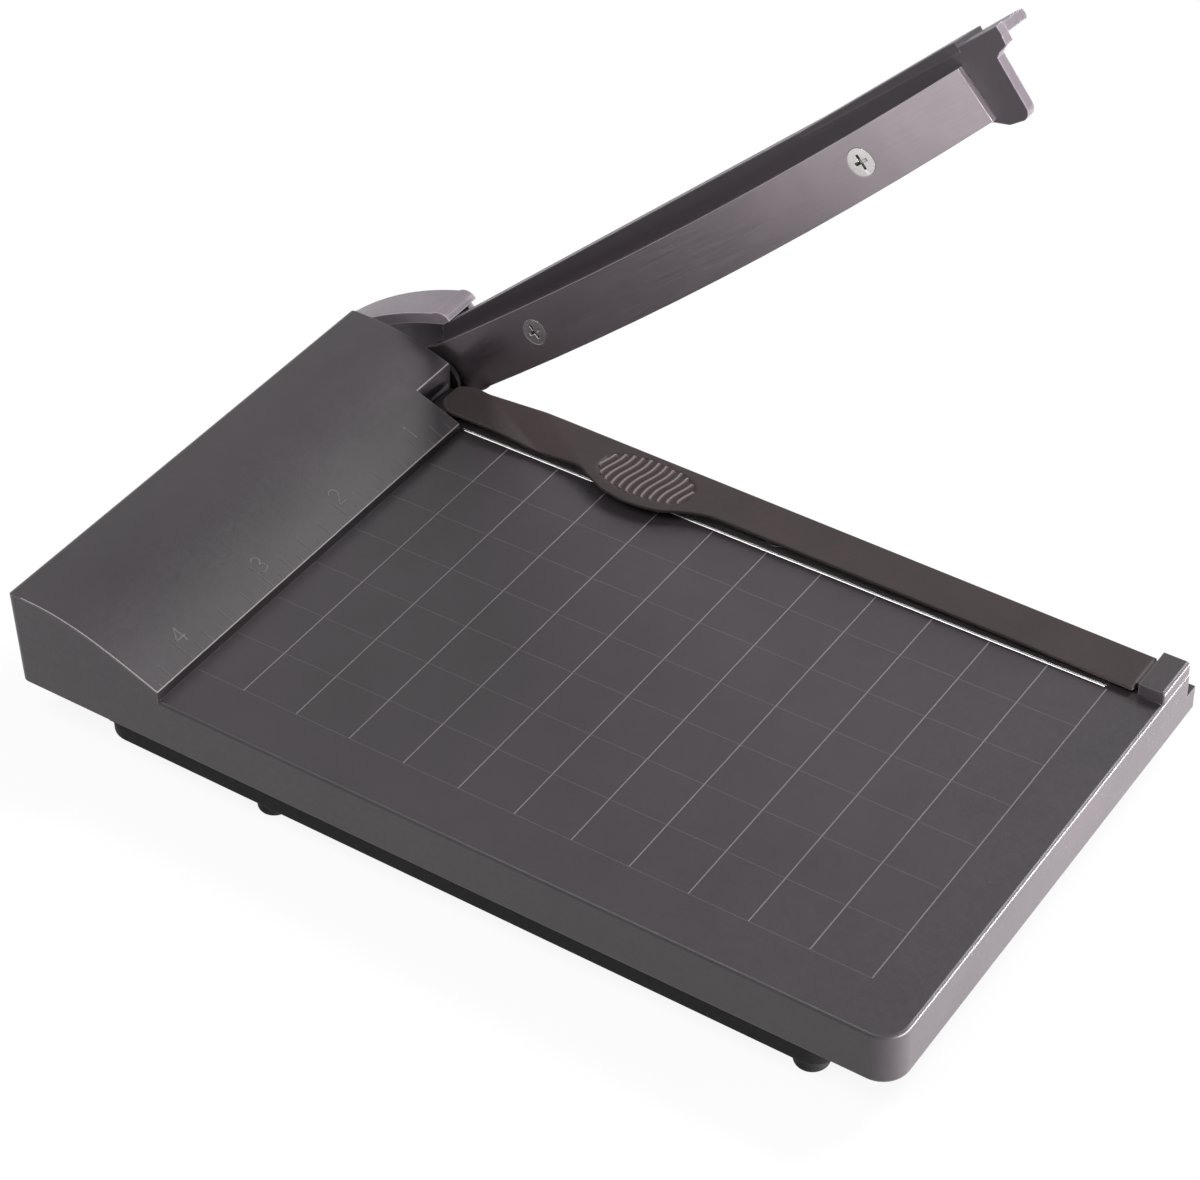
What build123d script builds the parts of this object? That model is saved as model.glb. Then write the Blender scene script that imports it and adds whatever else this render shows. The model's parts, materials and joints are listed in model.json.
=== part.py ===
from build123d import *
import os
from math import cos, radians, sin, sqrt

# Business card cutter: a small lever trimmer. Millimetres, +Z up. The origin is on the desk, under
# the middle of the whole cutter with its lever open. The cut runs along Y, on the +X side; the
# lever's hinge is at the +Y end and its free end points to -Y.

# Base
base_length = 200.0
base_width = 116.4
table_top = 20.8
skirt_bottom = 9.3
wall = 2.0
front_corner_r = 5.5
back_corner_r = 2.0
edge_r = 0.8
near_x = -64.6
ledge_x = near_x + base_width
handle_end_y = -105.2
hinge_end_y = handle_end_y + base_length
middle_y = (handle_end_y + hinge_end_y) / 2

# Cut line: the fixed blade's edge is the shear plane
cut_x = 48.5
support_setback = 0.4
support_x = cut_x - support_setback
block_back_x = 46.6
hub_relief_y = 65.8
ledge_top = 11.8
landing_top = 14.7
landing_length = 8.8

# Ruler block and the notch in it for the clamp's end
fence_y = 57.6
fence_height = 2.2
block_height = 10.9
block_shoulder_r = 1.6
notch_y = 68.4
notch_x = 35.15

# End stop beside the clamp's hinge
stop_length = 5.6
stop_front_x = 37.1
stop_height = 3.0
stop_shoulder_r = 0.5
stop_end_r = 0.9
stop_roof = 0.7

# Fixed blade
blade_strip_width = 12.0
blade_strip_thickness = 1.2
blade_strip_hinge_y = 58.1
blade_strip_handle_y = -93.4
blade_rail_depth = 5.2
rail_front_x = cut_x - blade_strip_width - 1.5
strip_screw_x = 41.2
strip_screw_ys = (43.6, -17.4, -78.4)
strip_screw_r = 1.5
strip_head_r = 2.9
strip_head_height = 1.4
strip_screw_length = 8.6
strip_nut_height = 2.4

# Lever hinge: axis along X
pivot_y = 71.4
pivot_z = 21.8
open_angle = 41.7
bolt_r = 2.0
bolt_head_r = 3.6
bolt_head_height = 2.6
bolt_boss_r = 6.0
boss_front_x = 32.8
bracket_thickness = 1.5
bracket_screw_points = ((13.0, 3.0), (13.0, -5.0))
bracket_screw_r = 1.25
spacer_thickness = 1.0
hinge_play = 0.05

# Lever arm and moving blade: s runs along the arm from the hinge, t square to it
blade_thickness = 1.5
blade_face_x = cut_x + hinge_play
blade_end_s = 165.6
blade_hub_r = 6.5
arm_wall = 2.4
arm_front_x = blade_face_x + blade_thickness
arm_back_x = arm_front_x + arm_wall
arm_top_t = 9.45
arm_end_s = 176.8
flange_start_s = 8.3
flange_thickness = 2.0
flange_width = 8.5
flare_width = 14.6
flange_droop = 0.11
flange_tip_r = 0.9
pad_start_s = 124.0
pad_end_s = 167.0
pad_height = 1.05
rib_thickness = 1.5
rib_stations = (50.0, 73.0, 96.0, 115.0, 152.0)
hub_boss_height = 0.75
blade_screw_stations = (32.1, 134.1)
blade_screw_t = -0.63
blade_screw_r = 1.5
blade_head_r = 3.0
blade_screw_length = 7.0
nut_flats_r = 2.75
nut_corner_r = nut_flats_r * 2 / sqrt(3)
blade_nut_height = 2.4
bush_r = 3.0
bush_flange_r = 4.2
bush_flange = 0.5

# Hub cover over the hinge
cover_back_x = 59.8
cover_back_wall = 1.7
cover_post_r = 2.3
cover_posts = ((13.4, 2.2), (-5.2, -5.4))
cover_post_points = [(-s, t) for s, t in cover_posts]
post_screw_r = 1.0
post_screw_head_r = 1.9
post_screw_length = 6.0

# Clamp bar: hinged at the end stop, sprung at the notch
clamp_pin_y = -101.6
clamp_pin_z = 20.6
clamp_pin_r = 0.8
clamp_back_x = 47.0
clamp_front_x = 36.2
clamp_tab_x = 30.4
clamp_tab_y = 13.8
clamp_tab_reach = 19.0
clamp_handle_y = -98.6
clamp_hinge_y = 64.9
clamp_bend_y = 38.8
clamp_gap_handle = 0.35
clamp_gap_hinge = 1.6
clamp_top_handle = 1.7
clamp_top_hinge = 3.4
knuckle_r = 1.9
knuckle_x0 = 38.7
knuckle_x1 = 46.1
spring_x = 40.2
spring_y = 61.6
spring_pocket_r = 2.9
spring_pocket_floor = 14.8
spring_boss_bottom = 13.3
spring_r = 2.05
spring_wire_r = 0.25
spring_turns = 6
post_r = 1.3
post_hole_r = 1.7
post_end = 13.25
stop_washer_r = 2.0
stop_washer_thickness = 0.4
stop_screw_r = 0.7
stop_head_r = 1.4
stop_head_height = 0.9

# Bottom cover and feet
pan_bottom = 4.3
pan_floor = 2.0
pan_hinge_y = 74.6
pan_handle_y = -91.2
pan_near_x = -63.9
pan_far_x = 49.6
pan_corner_r = 5.4
pan_edge_r = 0.5
plate_bottom = 9.5
plate_top = 11.5
cover_clearance = 0.15
pan_screw_points = [(x, y) for x in (-52.4, 29.6) for y in (14.8, -79.2)]
plate_screw_points = [(-52.4, 84.8), (23.6, 84.8)]
cover_screw_r = 1.4
cover_screw_head_r = 2.8
cover_boss_r = 3.4
foot_r = 3.5
foot_stem_r = 1.6
foot_button_r = 2.2
foot_button_height = 1.3
foot_points = [(x, y) for x in (-58.9, 39.1) for y in (35.8, -85.5)]


def side_plane(x):
    """Upright plane across the base: local x runs towards the handle end, local y runs up."""
    return Plane(origin=(x, 0, 0), x_dir=(0, -1, 0), z_dir=(-1, 0, 0))


def arm_plane(x):
    """Plane of the open lever, seen from the table: local x is s and local y is t."""
    tilt = radians(open_angle)
    return Plane(origin=(x, pivot_y, pivot_z), x_dir=(0, -cos(tilt), sin(tilt)), z_dir=(-1, 0, 0))


def arm_plane_outward(x):
    """The lever's plane seen from outside: extrusions run to +X, and local x is -s."""
    tilt = radians(open_angle)
    return Plane(origin=(x, pivot_y, pivot_z), x_dir=(0, cos(tilt), -sin(tilt)), z_dir=(1, 0, 0))


def pivot_plane(x):
    """Upright plane through the hinge axis; extrusions run to +X."""
    return Plane(origin=(x, pivot_y, pivot_z), x_dir=(0, 1, 0), z_dir=(1, 0, 0))


def cross_slots(plane, points, reach):
    """Slots for a cross-head screwdriver, one pair at each point."""
    with BuildSketch(plane) as slots:
        with Locations(*points):
            Rectangle(reach * 2, reach * 0.4)
            Rectangle(reach * 0.4, reach * 2)
    return slots.sketch


def ruler_block_profile(plane, inset):
    """Side view of the ruler block, from the hinge end to the fence, shrunk by inset."""
    top = table_top - inset
    shoulder_x = -hinge_end_y + inset
    with BuildSketch(plane) as profile:
        with BuildLine():
            crest = Spline(
                (-90.8, top + block_height),
                (-84.4, top + block_height - 0.3),
                (-75.3, top + block_height - 2.1),
                (-65.3, top + block_height - 5.6),
                (-fence_y - 0.2 - inset, top + fence_height),
                tangents=((1, 0), (1, -0.42)),
            )
            Polyline(
                crest @ 1,
                (-fence_y - inset, skirt_bottom),
                (shoulder_x, skirt_bottom),
                (shoulder_x, top + block_height - block_shoulder_r),
            )
            TangentArc(
                (shoulder_x, top + block_height - block_shoulder_r),
                (shoulder_x + block_shoulder_r, top + block_height),
                tangent=(0, 1),
            )
            Line((shoulder_x + block_shoulder_r, top + block_height), crest @ 0)
        make_face()
    return profile.sketch


# ---------------------------------------------------------------- top housing
# Hollow under the table and the ruler block, open at the bottom
with BuildPart() as cavity:
    with BuildSketch(Plane.XY.offset(skirt_bottom)):
        with Locations(((near_x + block_back_x) / 2, middle_y)):
            Rectangle(block_back_x - near_x - 2 * wall, base_length - 2 * wall)
    extrude(amount=table_top - wall - skirt_bottom)
    hollow_profile = ruler_block_profile(side_plane(block_back_x - wall), wall)
    extrude(hollow_profile, amount=block_back_x - near_x - 2 * wall)
    # the notch keeps its own floor and walls
    with BuildSketch(Plane.XY.offset(table_top - wall)):
        with Locations(((notch_x - wall + cut_x) / 2, (notch_y + wall + fence_y - 6) / 2)):
            Rectangle(cut_x - notch_x + wall, notch_y + wall - fence_y + 6)
    extrude(amount=block_height + wall, mode=Mode.SUBTRACT)

with BuildPart() as top_housing:
    with BuildSketch(Plane.XY.offset(skirt_bottom)):
        with BuildLine():
            Polyline(
                (near_x, hinge_end_y),
                (near_x, handle_end_y),
                (support_x, handle_end_y),
                (support_x, hub_relief_y),
                (block_back_x, hub_relief_y),
                (block_back_x, hinge_end_y),
                close=True,
            )
        make_face()
    extrude(amount=table_top - skirt_bottom)
    extrude(ruler_block_profile(side_plane(block_back_x), 0), amount=block_back_x - near_x)
    with BuildSketch(Plane.XY.offset(skirt_bottom)) as footprint:
        with Locations(((near_x + support_x) / 2, middle_y)):
            Rectangle(support_x - near_x, base_length)
        near_corners = footprint.vertices().group_by(Axis.X)[0].sort_by(Axis.Y)
        fillet(near_corners[0], front_corner_r)
        fillet(footprint.vertices().group_by(Axis.X)[0].sort_by(Axis.Y)[-1], back_corner_r)
    extrude(amount=table_top + block_height, mode=Mode.INTERSECT)
    rim = faces().filter_by(Plane.XY).filter_by(lambda face: abs(face.center().Z - table_top) < 0.01)
    fillet(rim.edges().filter_by(Axis.Y).group_by(Axis.X)[0], edge_r)
    add(cavity.part, mode=Mode.SUBTRACT)
    # rail under the fixed blade, hinge pocket's block and inner bosses
    with BuildSketch(Plane.XY.offset(table_top - blade_rail_depth)):
        with Locations(((rail_front_x + block_back_x - wall) / 2, middle_y - 13.0)):
            Rectangle(block_back_x - wall - rail_front_x, base_length - 30.0)
    extrude(amount=blade_rail_depth - wall)
    with BuildSketch(Plane.XY.offset(spring_boss_bottom)):
        with Locations((spring_x, spring_y)):
            Circle(spring_pocket_r + 1.8)
    extrude(amount=table_top - spring_boss_bottom - wall)
    with BuildSketch(pivot_plane(boss_front_x)):
        Circle(bolt_boss_r)
        with Locations(*bracket_screw_points):
            Circle(2.8)
        with Locations((6.5, -1.0)):
            Rectangle(13.0, 3.0)
    extrude(amount=block_back_x - wall - boss_front_x)
    with BuildSketch(Plane.XY.offset(pan_bottom + pan_floor)):
        with Locations(*pan_screw_points):
            Circle(cover_boss_r)
    extrude(amount=table_top - wall - pan_bottom - pan_floor)
    with BuildSketch(Plane.XY.offset(plate_top)):
        with Locations(*plate_screw_points):
            Circle(cover_boss_r)
    extrude(amount=table_top + block_height - wall / 2 - plate_top)
    # end stop
    with BuildSketch(side_plane(support_x)) as stop_profile:
        with Locations((-handle_end_y - stop_length / 2, table_top + stop_height / 2)):
            Rectangle(stop_length, stop_height)
        fillet(stop_profile.vertices().sort_by(Axis.X)[-2:].sort_by(Axis.Y)[-1], stop_end_r)
    extrude(amount=support_x - stop_front_x)
    stop_top = faces().filter_by(
        lambda face: abs(face.center().Z - table_top - stop_height) < 0.01 and face.center().Y < -90
    )
    fillet(stop_top.edges().filter_by(Axis.Y), stop_shoulder_r)
    # ledge behind the cut, with a landing for the lever's finger tab
    with BuildSketch(side_plane(ledge_x)):
        with BuildLine():
            Polyline(
                (-hinge_end_y + back_corner_r, skirt_bottom),
                (-handle_end_y, skirt_bottom),
                (-handle_end_y, landing_top),
                (-handle_end_y - landing_length, landing_top),
                (-handle_end_y - landing_length - 1.0, ledge_top),
                (-hinge_end_y + back_corner_r, ledge_top),
                close=True,
            )
        make_face()
    extrude(amount=ledge_x - block_back_x + wall)
    # notch for the clamp's sprung end
    with BuildSketch(Plane.XY.offset(table_top)):
        with Locations(((notch_x + cut_x) / 2, (notch_y + fence_y - 2) / 2)):
            Rectangle(cut_x - notch_x, notch_y - fence_y + 2)
    extrude(amount=block_height + wall, mode=Mode.SUBTRACT)
    # seat of the fixed blade
    with BuildSketch(Plane.XY.offset(table_top - blade_strip_thickness)):
        with Locations((cut_x - blade_strip_width / 2, (blade_strip_hinge_y + blade_strip_handle_y) / 2)):
            Rectangle(blade_strip_width, blade_strip_hinge_y - blade_strip_handle_y)
    extrude(amount=blade_strip_thickness, mode=Mode.SUBTRACT)
    with BuildSketch(Plane.XY.offset(table_top - blade_strip_thickness)):
        with Locations(*[(strip_screw_x, y) for y in strip_screw_ys]):
            Circle(strip_screw_r + 0.2)
    extrude(amount=-blade_rail_depth, mode=Mode.SUBTRACT)
    with BuildSketch(Plane.XY.offset(table_top)):
        with Locations(*[(strip_screw_x, y) for y in strip_screw_ys]):
            Circle(strip_head_r + 0.05)
    extrude(amount=-strip_head_height - 0.1, taper=45, mode=Mode.SUBTRACT)
    # pocket and pin hole of the clamp's hinge
    with BuildSketch(side_plane(knuckle_x1 + 0.3)):
        with BuildLine():
            Polyline(
                (-clamp_pin_y - 6.4, table_top + stop_height - stop_roof),
                (-clamp_pin_y - 6.4, table_top - 0.6),
                (-clamp_pin_y - 2.8, clamp_pin_z - knuckle_r - 0.3),
                (-clamp_pin_y, clamp_pin_z - knuckle_r - 0.3),
                (-clamp_pin_y + knuckle_r + 0.25, clamp_pin_z - 1.0),
                (-clamp_pin_y + knuckle_r + 0.25, clamp_pin_z + 1.2),
                (-clamp_pin_y, clamp_pin_z + knuckle_r + 0.4),
                (-handle_end_y - stop_length - 0.5, table_top + stop_height - stop_roof),
                close=True,
            )
        make_face()
    extrude(amount=knuckle_x1 - knuckle_x0 + 0.6, mode=Mode.SUBTRACT)
    with BuildSketch(Plane(origin=(support_x, clamp_pin_y, clamp_pin_z), z_dir=(-1, 0, 0))):
        Circle(clamp_pin_r + 0.01)
    extrude(amount=support_x - stop_front_x - 0.7, mode=Mode.SUBTRACT)
    # spring pocket
    with BuildSketch(Plane.XY.offset(spring_pocket_floor)):
        with Locations((spring_x, spring_y)):
            Circle(spring_pocket_r)
    extrude(amount=table_top - spring_pocket_floor, mode=Mode.SUBTRACT)
    with BuildSketch(Plane.XY.offset(spring_boss_bottom)):
        with Locations((spring_x, spring_y)):
            Circle(post_hole_r)
    extrude(amount=spring_pocket_floor - spring_boss_bottom, mode=Mode.SUBTRACT)
    # bolt and bracket screw holes
    with BuildSketch(pivot_plane(boss_front_x)):
        Circle(bolt_r + 0.02)
    extrude(amount=block_back_x - boss_front_x, mode=Mode.SUBTRACT)
    with BuildSketch(pivot_plane(boss_front_x)):
        with Locations(*bracket_screw_points):
            Circle(bracket_screw_r + 0.01)
    extrude(amount=8.0, mode=Mode.SUBTRACT)
    # cover screw holes
    with BuildSketch(Plane.XY.offset(pan_bottom + pan_floor)):
        with Locations(*pan_screw_points):
            Circle(cover_screw_r + 0.01)
    extrude(amount=9.0, mode=Mode.SUBTRACT)
    with BuildSketch(Plane.XY.offset(plate_top)):
        with Locations(*plate_screw_points):
            Circle(cover_screw_r + 0.01)
    extrude(amount=9.0, mode=Mode.SUBTRACT)

os.makedirs("parts", exist_ok=True)
top_housing.part.label = "top_housing"
export_step(top_housing.part, "parts/top_housing.step")


# ---------------------------------------------------------------- bottom cover, feet and screws
cover_far_x = block_back_x - wall
with BuildPart() as bottom_cover:
    with BuildSketch(Plane.XY.offset(plate_bottom)):
        with Locations(((near_x + wall + cover_far_x) / 2, middle_y)):
            Rectangle(
                cover_far_x - near_x - wall - 2 * cover_clearance,
                base_length - 2 * wall - 2 * cover_clearance,
            )
    extrude(amount=plate_top - plate_bottom)
    with BuildSketch(Plane.XY.offset(pan_bottom)):
        with Locations(((pan_near_x + pan_far_x) / 2, (pan_hinge_y + pan_handle_y) / 2)):
            RectangleRounded(pan_far_x - pan_near_x, pan_hinge_y - pan_handle_y, pan_corner_r)
    extrude(amount=skirt_bottom - 0.05 - pan_bottom)
    fillet(faces().sort_by(Axis.Z)[0].edges(), pan_edge_r)
    with BuildSketch(Plane.XY.offset(pan_bottom + pan_floor)):
        with Locations(((pan_near_x + cover_far_x) / 2, (pan_hinge_y + pan_handle_y) / 2)):
            Rectangle(cover_far_x - pan_near_x - 2 * wall - 1, pan_hinge_y - pan_handle_y - 2 * wall)
    extrude(amount=plate_top, mode=Mode.SUBTRACT)
    # rim between the pan and the plate
    with BuildSketch(Plane.XY.offset(pan_bottom + pan_floor)):
        with Locations(((near_x + wall + cover_far_x) / 2, (pan_hinge_y + pan_handle_y) / 2)):
            Rectangle(cover_far_x - near_x - wall - 2 * cover_clearance, pan_hinge_y - pan_handle_y - 1)
            Rectangle(
                cover_far_x - near_x - wall - 2 * cover_clearance - 2 * wall,
                pan_hinge_y - pan_handle_y - 2 * wall,
                mode=Mode.SUBTRACT,
            )
    extrude(amount=plate_top - pan_bottom - pan_floor)
    # the feet's buttons are clear of the rim
    with BuildSketch(Plane.XY.offset(pan_bottom + pan_floor)):
        with Locations(*foot_points):
            Circle(foot_button_r + 0.1)
    extrude(amount=foot_button_height + 0.2, mode=Mode.SUBTRACT)
    with BuildSketch(Plane.XY.offset(pan_bottom)):
        with Locations(*pan_screw_points):
            Circle(cover_screw_r + 0.1)
        with Locations(*foot_points):
            Circle(foot_stem_r + 0.01)
    extrude(amount=pan_floor, mode=Mode.SUBTRACT)
    with BuildSketch(Plane.XY.offset(plate_bottom)):
        with Locations(*plate_screw_points):
            Circle(cover_screw_r + 0.1)
    extrude(amount=plate_top - plate_bottom, mode=Mode.SUBTRACT)
    with BuildSketch(Plane.XY.offset(pan_bottom)):
        with Locations(*pan_screw_points):
            Circle(cover_screw_head_r + 0.05)
    extrude(amount=cover_screw_head_r - cover_screw_r, taper=45, mode=Mode.SUBTRACT)
    with BuildSketch(Plane.XY.offset(plate_bottom)):
        with Locations(*plate_screw_points):
            Circle(cover_screw_head_r + 0.05)
    extrude(amount=cover_screw_head_r - cover_screw_r, taper=45, mode=Mode.SUBTRACT)
bottom_cover.part.label = "bottom_cover"
export_step(bottom_cover.part, "parts/bottom_cover.step")

with BuildPart() as cover_screws:
    for base_z, points in ((pan_bottom, pan_screw_points), (plate_bottom, plate_screw_points)):
        with BuildSketch(Plane.XY.offset(base_z)):
            with Locations(*points):
                Circle(cover_screw_head_r)
        extrude(amount=cover_screw_head_r - cover_screw_r, taper=45)
        with BuildSketch(Plane.XY.offset(base_z)):
            with Locations(*points):
                Circle(cover_screw_r)
        extrude(amount=9.5)
        extrude(cross_slots(Plane.XY.offset(base_z), points, 1.5), amount=0.8, mode=Mode.SUBTRACT)
cover_screws.part.label = "cover_screws"
export_step(cover_screws.part, "parts/cover_screws.step")

with BuildPart() as rubber_feet:
    with BuildSketch(Plane.XY):
        with Locations(*foot_points):
            Circle(foot_r)
    extrude(amount=pan_bottom)
    fillet(faces().group_by(Axis.Z)[0].edges(), 1.0)
    with BuildSketch(Plane.XY.offset(pan_bottom)):
        with Locations(*foot_points):
            Circle(foot_stem_r)
    extrude(amount=pan_floor)
    with BuildSketch(Plane.XY.offset(pan_bottom + pan_floor)):
        with Locations(*foot_points):
            Circle(foot_button_r)
    extrude(amount=foot_button_height, taper=30)
rubber_feet.part.label = "rubber_feet"
export_step(rubber_feet.part, "parts/rubber_feet.step")


# ---------------------------------------------------------------- fixed blade
strip_screw_points = [(strip_screw_x, y) for y in strip_screw_ys]
with BuildPart() as fixed_blade:
    with BuildSketch(Plane.XY.offset(table_top - blade_strip_thickness)):
        with Locations((cut_x - blade_strip_width / 2, (blade_strip_hinge_y + blade_strip_handle_y) / 2)):
            Rectangle(blade_strip_width, blade_strip_hinge_y - blade_strip_handle_y)
    extrude(amount=blade_strip_thickness)
    with BuildSketch(Plane.XY.offset(table_top)):
        with Locations(*strip_screw_points):
            Circle(strip_head_r + 0.03)
    extrude(amount=-blade_strip_thickness, taper=45, mode=Mode.SUBTRACT)
fixed_blade.part.label = "fixed_blade"
export_step(fixed_blade.part, "parts/fixed_blade.step")

with BuildPart() as fixed_blade_screws:
    with BuildSketch(Plane.XY.offset(table_top)):
        with Locations(*strip_screw_points):
            Circle(strip_head_r)
    extrude(amount=-strip_head_height, taper=45)
    with BuildSketch(Plane.XY.offset(table_top - 0.1)):
        with Locations(*strip_screw_points):
            Circle(strip_screw_r)
    extrude(amount=-strip_screw_length)
    slots = cross_slots(Plane.XY.offset(table_top), strip_screw_points, 1.5)
    extrude(slots, amount=-0.9, mode=Mode.SUBTRACT)
fixed_blade_screws.part.label = "fixed_blade_screws"
export_step(fixed_blade_screws.part, "parts/fixed_blade_screws.step")

with BuildPart() as fixed_blade_nuts:
    with BuildSketch(Plane.XY.offset(table_top - blade_rail_depth)):
        with Locations(*strip_screw_points):
            RegularPolygon(nut_corner_r, 6)
            Circle(strip_screw_r + 0.01, mode=Mode.SUBTRACT)
    extrude(amount=-strip_nut_height)
fixed_blade_nuts.part.label = "fixed_blade_nuts"
export_step(fixed_blade_nuts.part, "parts/fixed_blade_nuts.step")


# ---------------------------------------------------------------- hinge of the lever
bracket_x = boss_front_x - bracket_thickness
with BuildPart() as pivot_bracket:
    with BuildSketch(pivot_plane(bracket_x)):
        with BuildLine():
            Polyline(
                (-4.2, -6.0),
                (17.0, -8.0),
                (17.0, 5.5),
                (1.5, 3.9),
                (-2.0, 3.4),
                (-4.2, 2.2),
                close=True,
            )
        make_face()
        Circle(bolt_r + 0.05, mode=Mode.SUBTRACT)
        with Locations(*bracket_screw_points):
            Circle(bracket_screw_r + 0.1, mode=Mode.SUBTRACT)
    extrude(amount=bracket_thickness)
pivot_bracket.part.label = "pivot_bracket"
export_step(pivot_bracket.part, "parts/pivot_bracket.step")

with BuildPart() as bracket_screws:
    with BuildSketch(pivot_plane(bracket_x)):
        with Locations(*bracket_screw_points):
            Circle(2.4)
    extrude(amount=-1.6)
    with BuildSketch(pivot_plane(bracket_x)):
        with Locations(*bracket_screw_points):
            Circle(bracket_screw_r)
    extrude(amount=9.0)
    slots = cross_slots(pivot_plane(bracket_x - 1.6), bracket_screw_points, 1.3)
    extrude(slots, amount=0.8, mode=Mode.SUBTRACT)
bracket_screws.part.label = "bracket_screws"
export_step(bracket_screws.part, "parts/bracket_screws.step")

washer_x = arm_back_x + hub_boss_height + bush_flange + hinge_play
nut_x = washer_x + 0.8
bolt_end_x = nut_x + 3.2
with BuildPart() as pivot_bolt:
    with BuildSketch(pivot_plane(bracket_x)):
        Circle(bolt_head_r)
    extrude(amount=-bolt_head_height)
    fillet(faces().sort_by(Axis.X)[0].edges(), 0.8)
    with BuildSketch(pivot_plane(bracket_x)):
        Circle(bolt_r)
    extrude(amount=bolt_end_x - bracket_x)
    slots = cross_slots(pivot_plane(bracket_x - bolt_head_height), [(0, 0)], 1.8)
    extrude(slots, amount=1.2, mode=Mode.SUBTRACT)
pivot_bolt.part.label = "pivot_bolt"
export_step(pivot_bolt.part, "parts/pivot_bolt.step")

with BuildPart() as pivot_spacer:
    with BuildSketch(pivot_plane(block_back_x)):
        Circle(5.0)
        Circle(bolt_r + 0.02, mode=Mode.SUBTRACT)
    extrude(amount=spacer_thickness)
pivot_spacer.part.label = "pivot_spacer"
export_step(pivot_spacer.part, "parts/pivot_spacer.step")

# A disc spring is a shallow cone of sheet: its inner edge bears on the blade side
disc_x = block_back_x + spacer_thickness
disc_end_x = blade_face_x - 0.02
with BuildPart() as pivot_disc_spring:
    with BuildSketch(Plane(origin=(0, pivot_y, pivot_z), x_dir=(1, 0, 0), z_dir=(0, -1, 0))):
        with BuildLine():
            Polyline(
                (disc_x, 4.6),
                (disc_end_x - 0.5, bolt_r + 0.1),
                (disc_end_x, bolt_r + 0.1),
                (disc_x + 0.5, 4.6),
                close=True,
            )
        make_face()
    revolve(axis=Axis((0, pivot_y, pivot_z), (1, 0, 0)))
pivot_disc_spring.part.label = "pivot_disc_spring"
export_step(pivot_disc_spring.part, "parts/pivot_disc_spring.step")

with BuildPart() as pivot_bush:
    with BuildSketch(pivot_plane(blade_face_x + 0.02)):
        Circle(bush_r)
    extrude(amount=arm_back_x + hub_boss_height - blade_face_x - 0.02)
    with BuildSketch(pivot_plane(arm_back_x + hub_boss_height)):
        Circle(bush_flange_r)
    extrude(amount=bush_flange)
    with BuildSketch(pivot_plane(blade_face_x)):
        Circle(bolt_r + 0.05)
    extrude(amount=washer_x - blade_face_x, mode=Mode.SUBTRACT)
pivot_bush.part.label = "pivot_bush"
export_step(pivot_bush.part, "parts/pivot_bush.step")

with BuildPart() as pivot_washer:
    with BuildSketch(pivot_plane(washer_x)):
        Circle(4.5)
        Circle(bolt_r + 0.02, mode=Mode.SUBTRACT)
    extrude(amount=nut_x - washer_x)
pivot_washer.part.label = "pivot_washer"
export_step(pivot_washer.part, "parts/pivot_washer.step")

with BuildPart() as pivot_nut:
    with BuildSketch(pivot_plane(nut_x)):
        RegularPolygon(4.0, 6)
        Circle(bolt_r + 0.01, mode=Mode.SUBTRACT)
    extrude(amount=bolt_end_x - nut_x)
    chamfer(faces().sort_by(Axis.X)[-1].outer_wire().edges(), 0.4)
pivot_nut.part.label = "pivot_nut"
export_step(pivot_nut.part, "parts/pivot_nut.step")


# ---------------------------------------------------------------- moving blade and its screws
screw_points = [(s, blade_screw_t) for s in blade_screw_stations]
screw_points_outward = [(-s, blade_screw_t) for s in blade_screw_stations]
with BuildPart() as moving_blade:
    with BuildSketch(arm_plane(arm_front_x)):
        with BuildLine():
            edge = ThreePointArc((6.5, -6.35), (80.0, -8.33), (blade_end_s, -5.05))
            Line(edge @ 1, (blade_end_s, 6.3))
            back = ThreePointArc((blade_end_s, 6.3), (76.0, 4.3), (3.0, 6.62))
            ThreePointArc(back @ 1, (-blade_hub_r, 0.0), (0.0, -6.2))
            Line((0.0, -6.2), edge @ 0)
        make_face()
        Circle(bush_r + 0.01, mode=Mode.SUBTRACT)
    extrude(amount=blade_thickness)
    with BuildSketch(arm_plane_outward(blade_face_x)):
        with Locations(*screw_points_outward):
            Circle(blade_head_r + 0.03)
    extrude(amount=blade_thickness, taper=45, mode=Mode.SUBTRACT)
moving_blade.part.label = "moving_blade"
export_step(moving_blade.part, "parts/moving_blade.step")

with BuildPart() as blade_screws:
    with BuildSketch(arm_plane_outward(blade_face_x)):
        with Locations(*screw_points_outward):
            Circle(blade_head_r)
    extrude(amount=blade_thickness, taper=45)
    with BuildSketch(arm_plane_outward(blade_face_x + 0.2)):
        with Locations(*screw_points_outward):
            Circle(blade_screw_r)
    extrude(amount=blade_screw_length)
    slots = cross_slots(arm_plane_outward(blade_face_x), screw_points_outward, 1.6)
    extrude(slots, amount=0.9, mode=Mode.SUBTRACT)
blade_screws.part.label = "blade_screws"
export_step(blade_screws.part, "parts/blade_screws.step")

with BuildPart() as blade_nuts:
    with BuildSketch(arm_plane_outward(arm_back_x)):
        with Locations(*screw_points_outward):
            RegularPolygon(nut_corner_r, 6)
            Circle(blade_screw_r + 0.01, mode=Mode.SUBTRACT)
    extrude(amount=blade_nut_height)
blade_nuts.part.label = "blade_nuts"
export_step(blade_nuts.part, "parts/blade_nuts.step")


# ---------------------------------------------------------------- lever arm
arm_tilt = radians(open_angle)
arm_along = (0, -cos(arm_tilt), sin(arm_tilt))
arm_up = (0, sin(arm_tilt), cos(arm_tilt))


def arm_section(station):
    """Plane square to the arm: local x runs outward (+X) from the wall's front, local y is t."""
    along = Vector(*arm_along) * station
    return Plane(origin=Vector(arm_front_x, pivot_y, pivot_z) + along, x_dir=(1, 0, 0), z_dir=arm_along)


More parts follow.
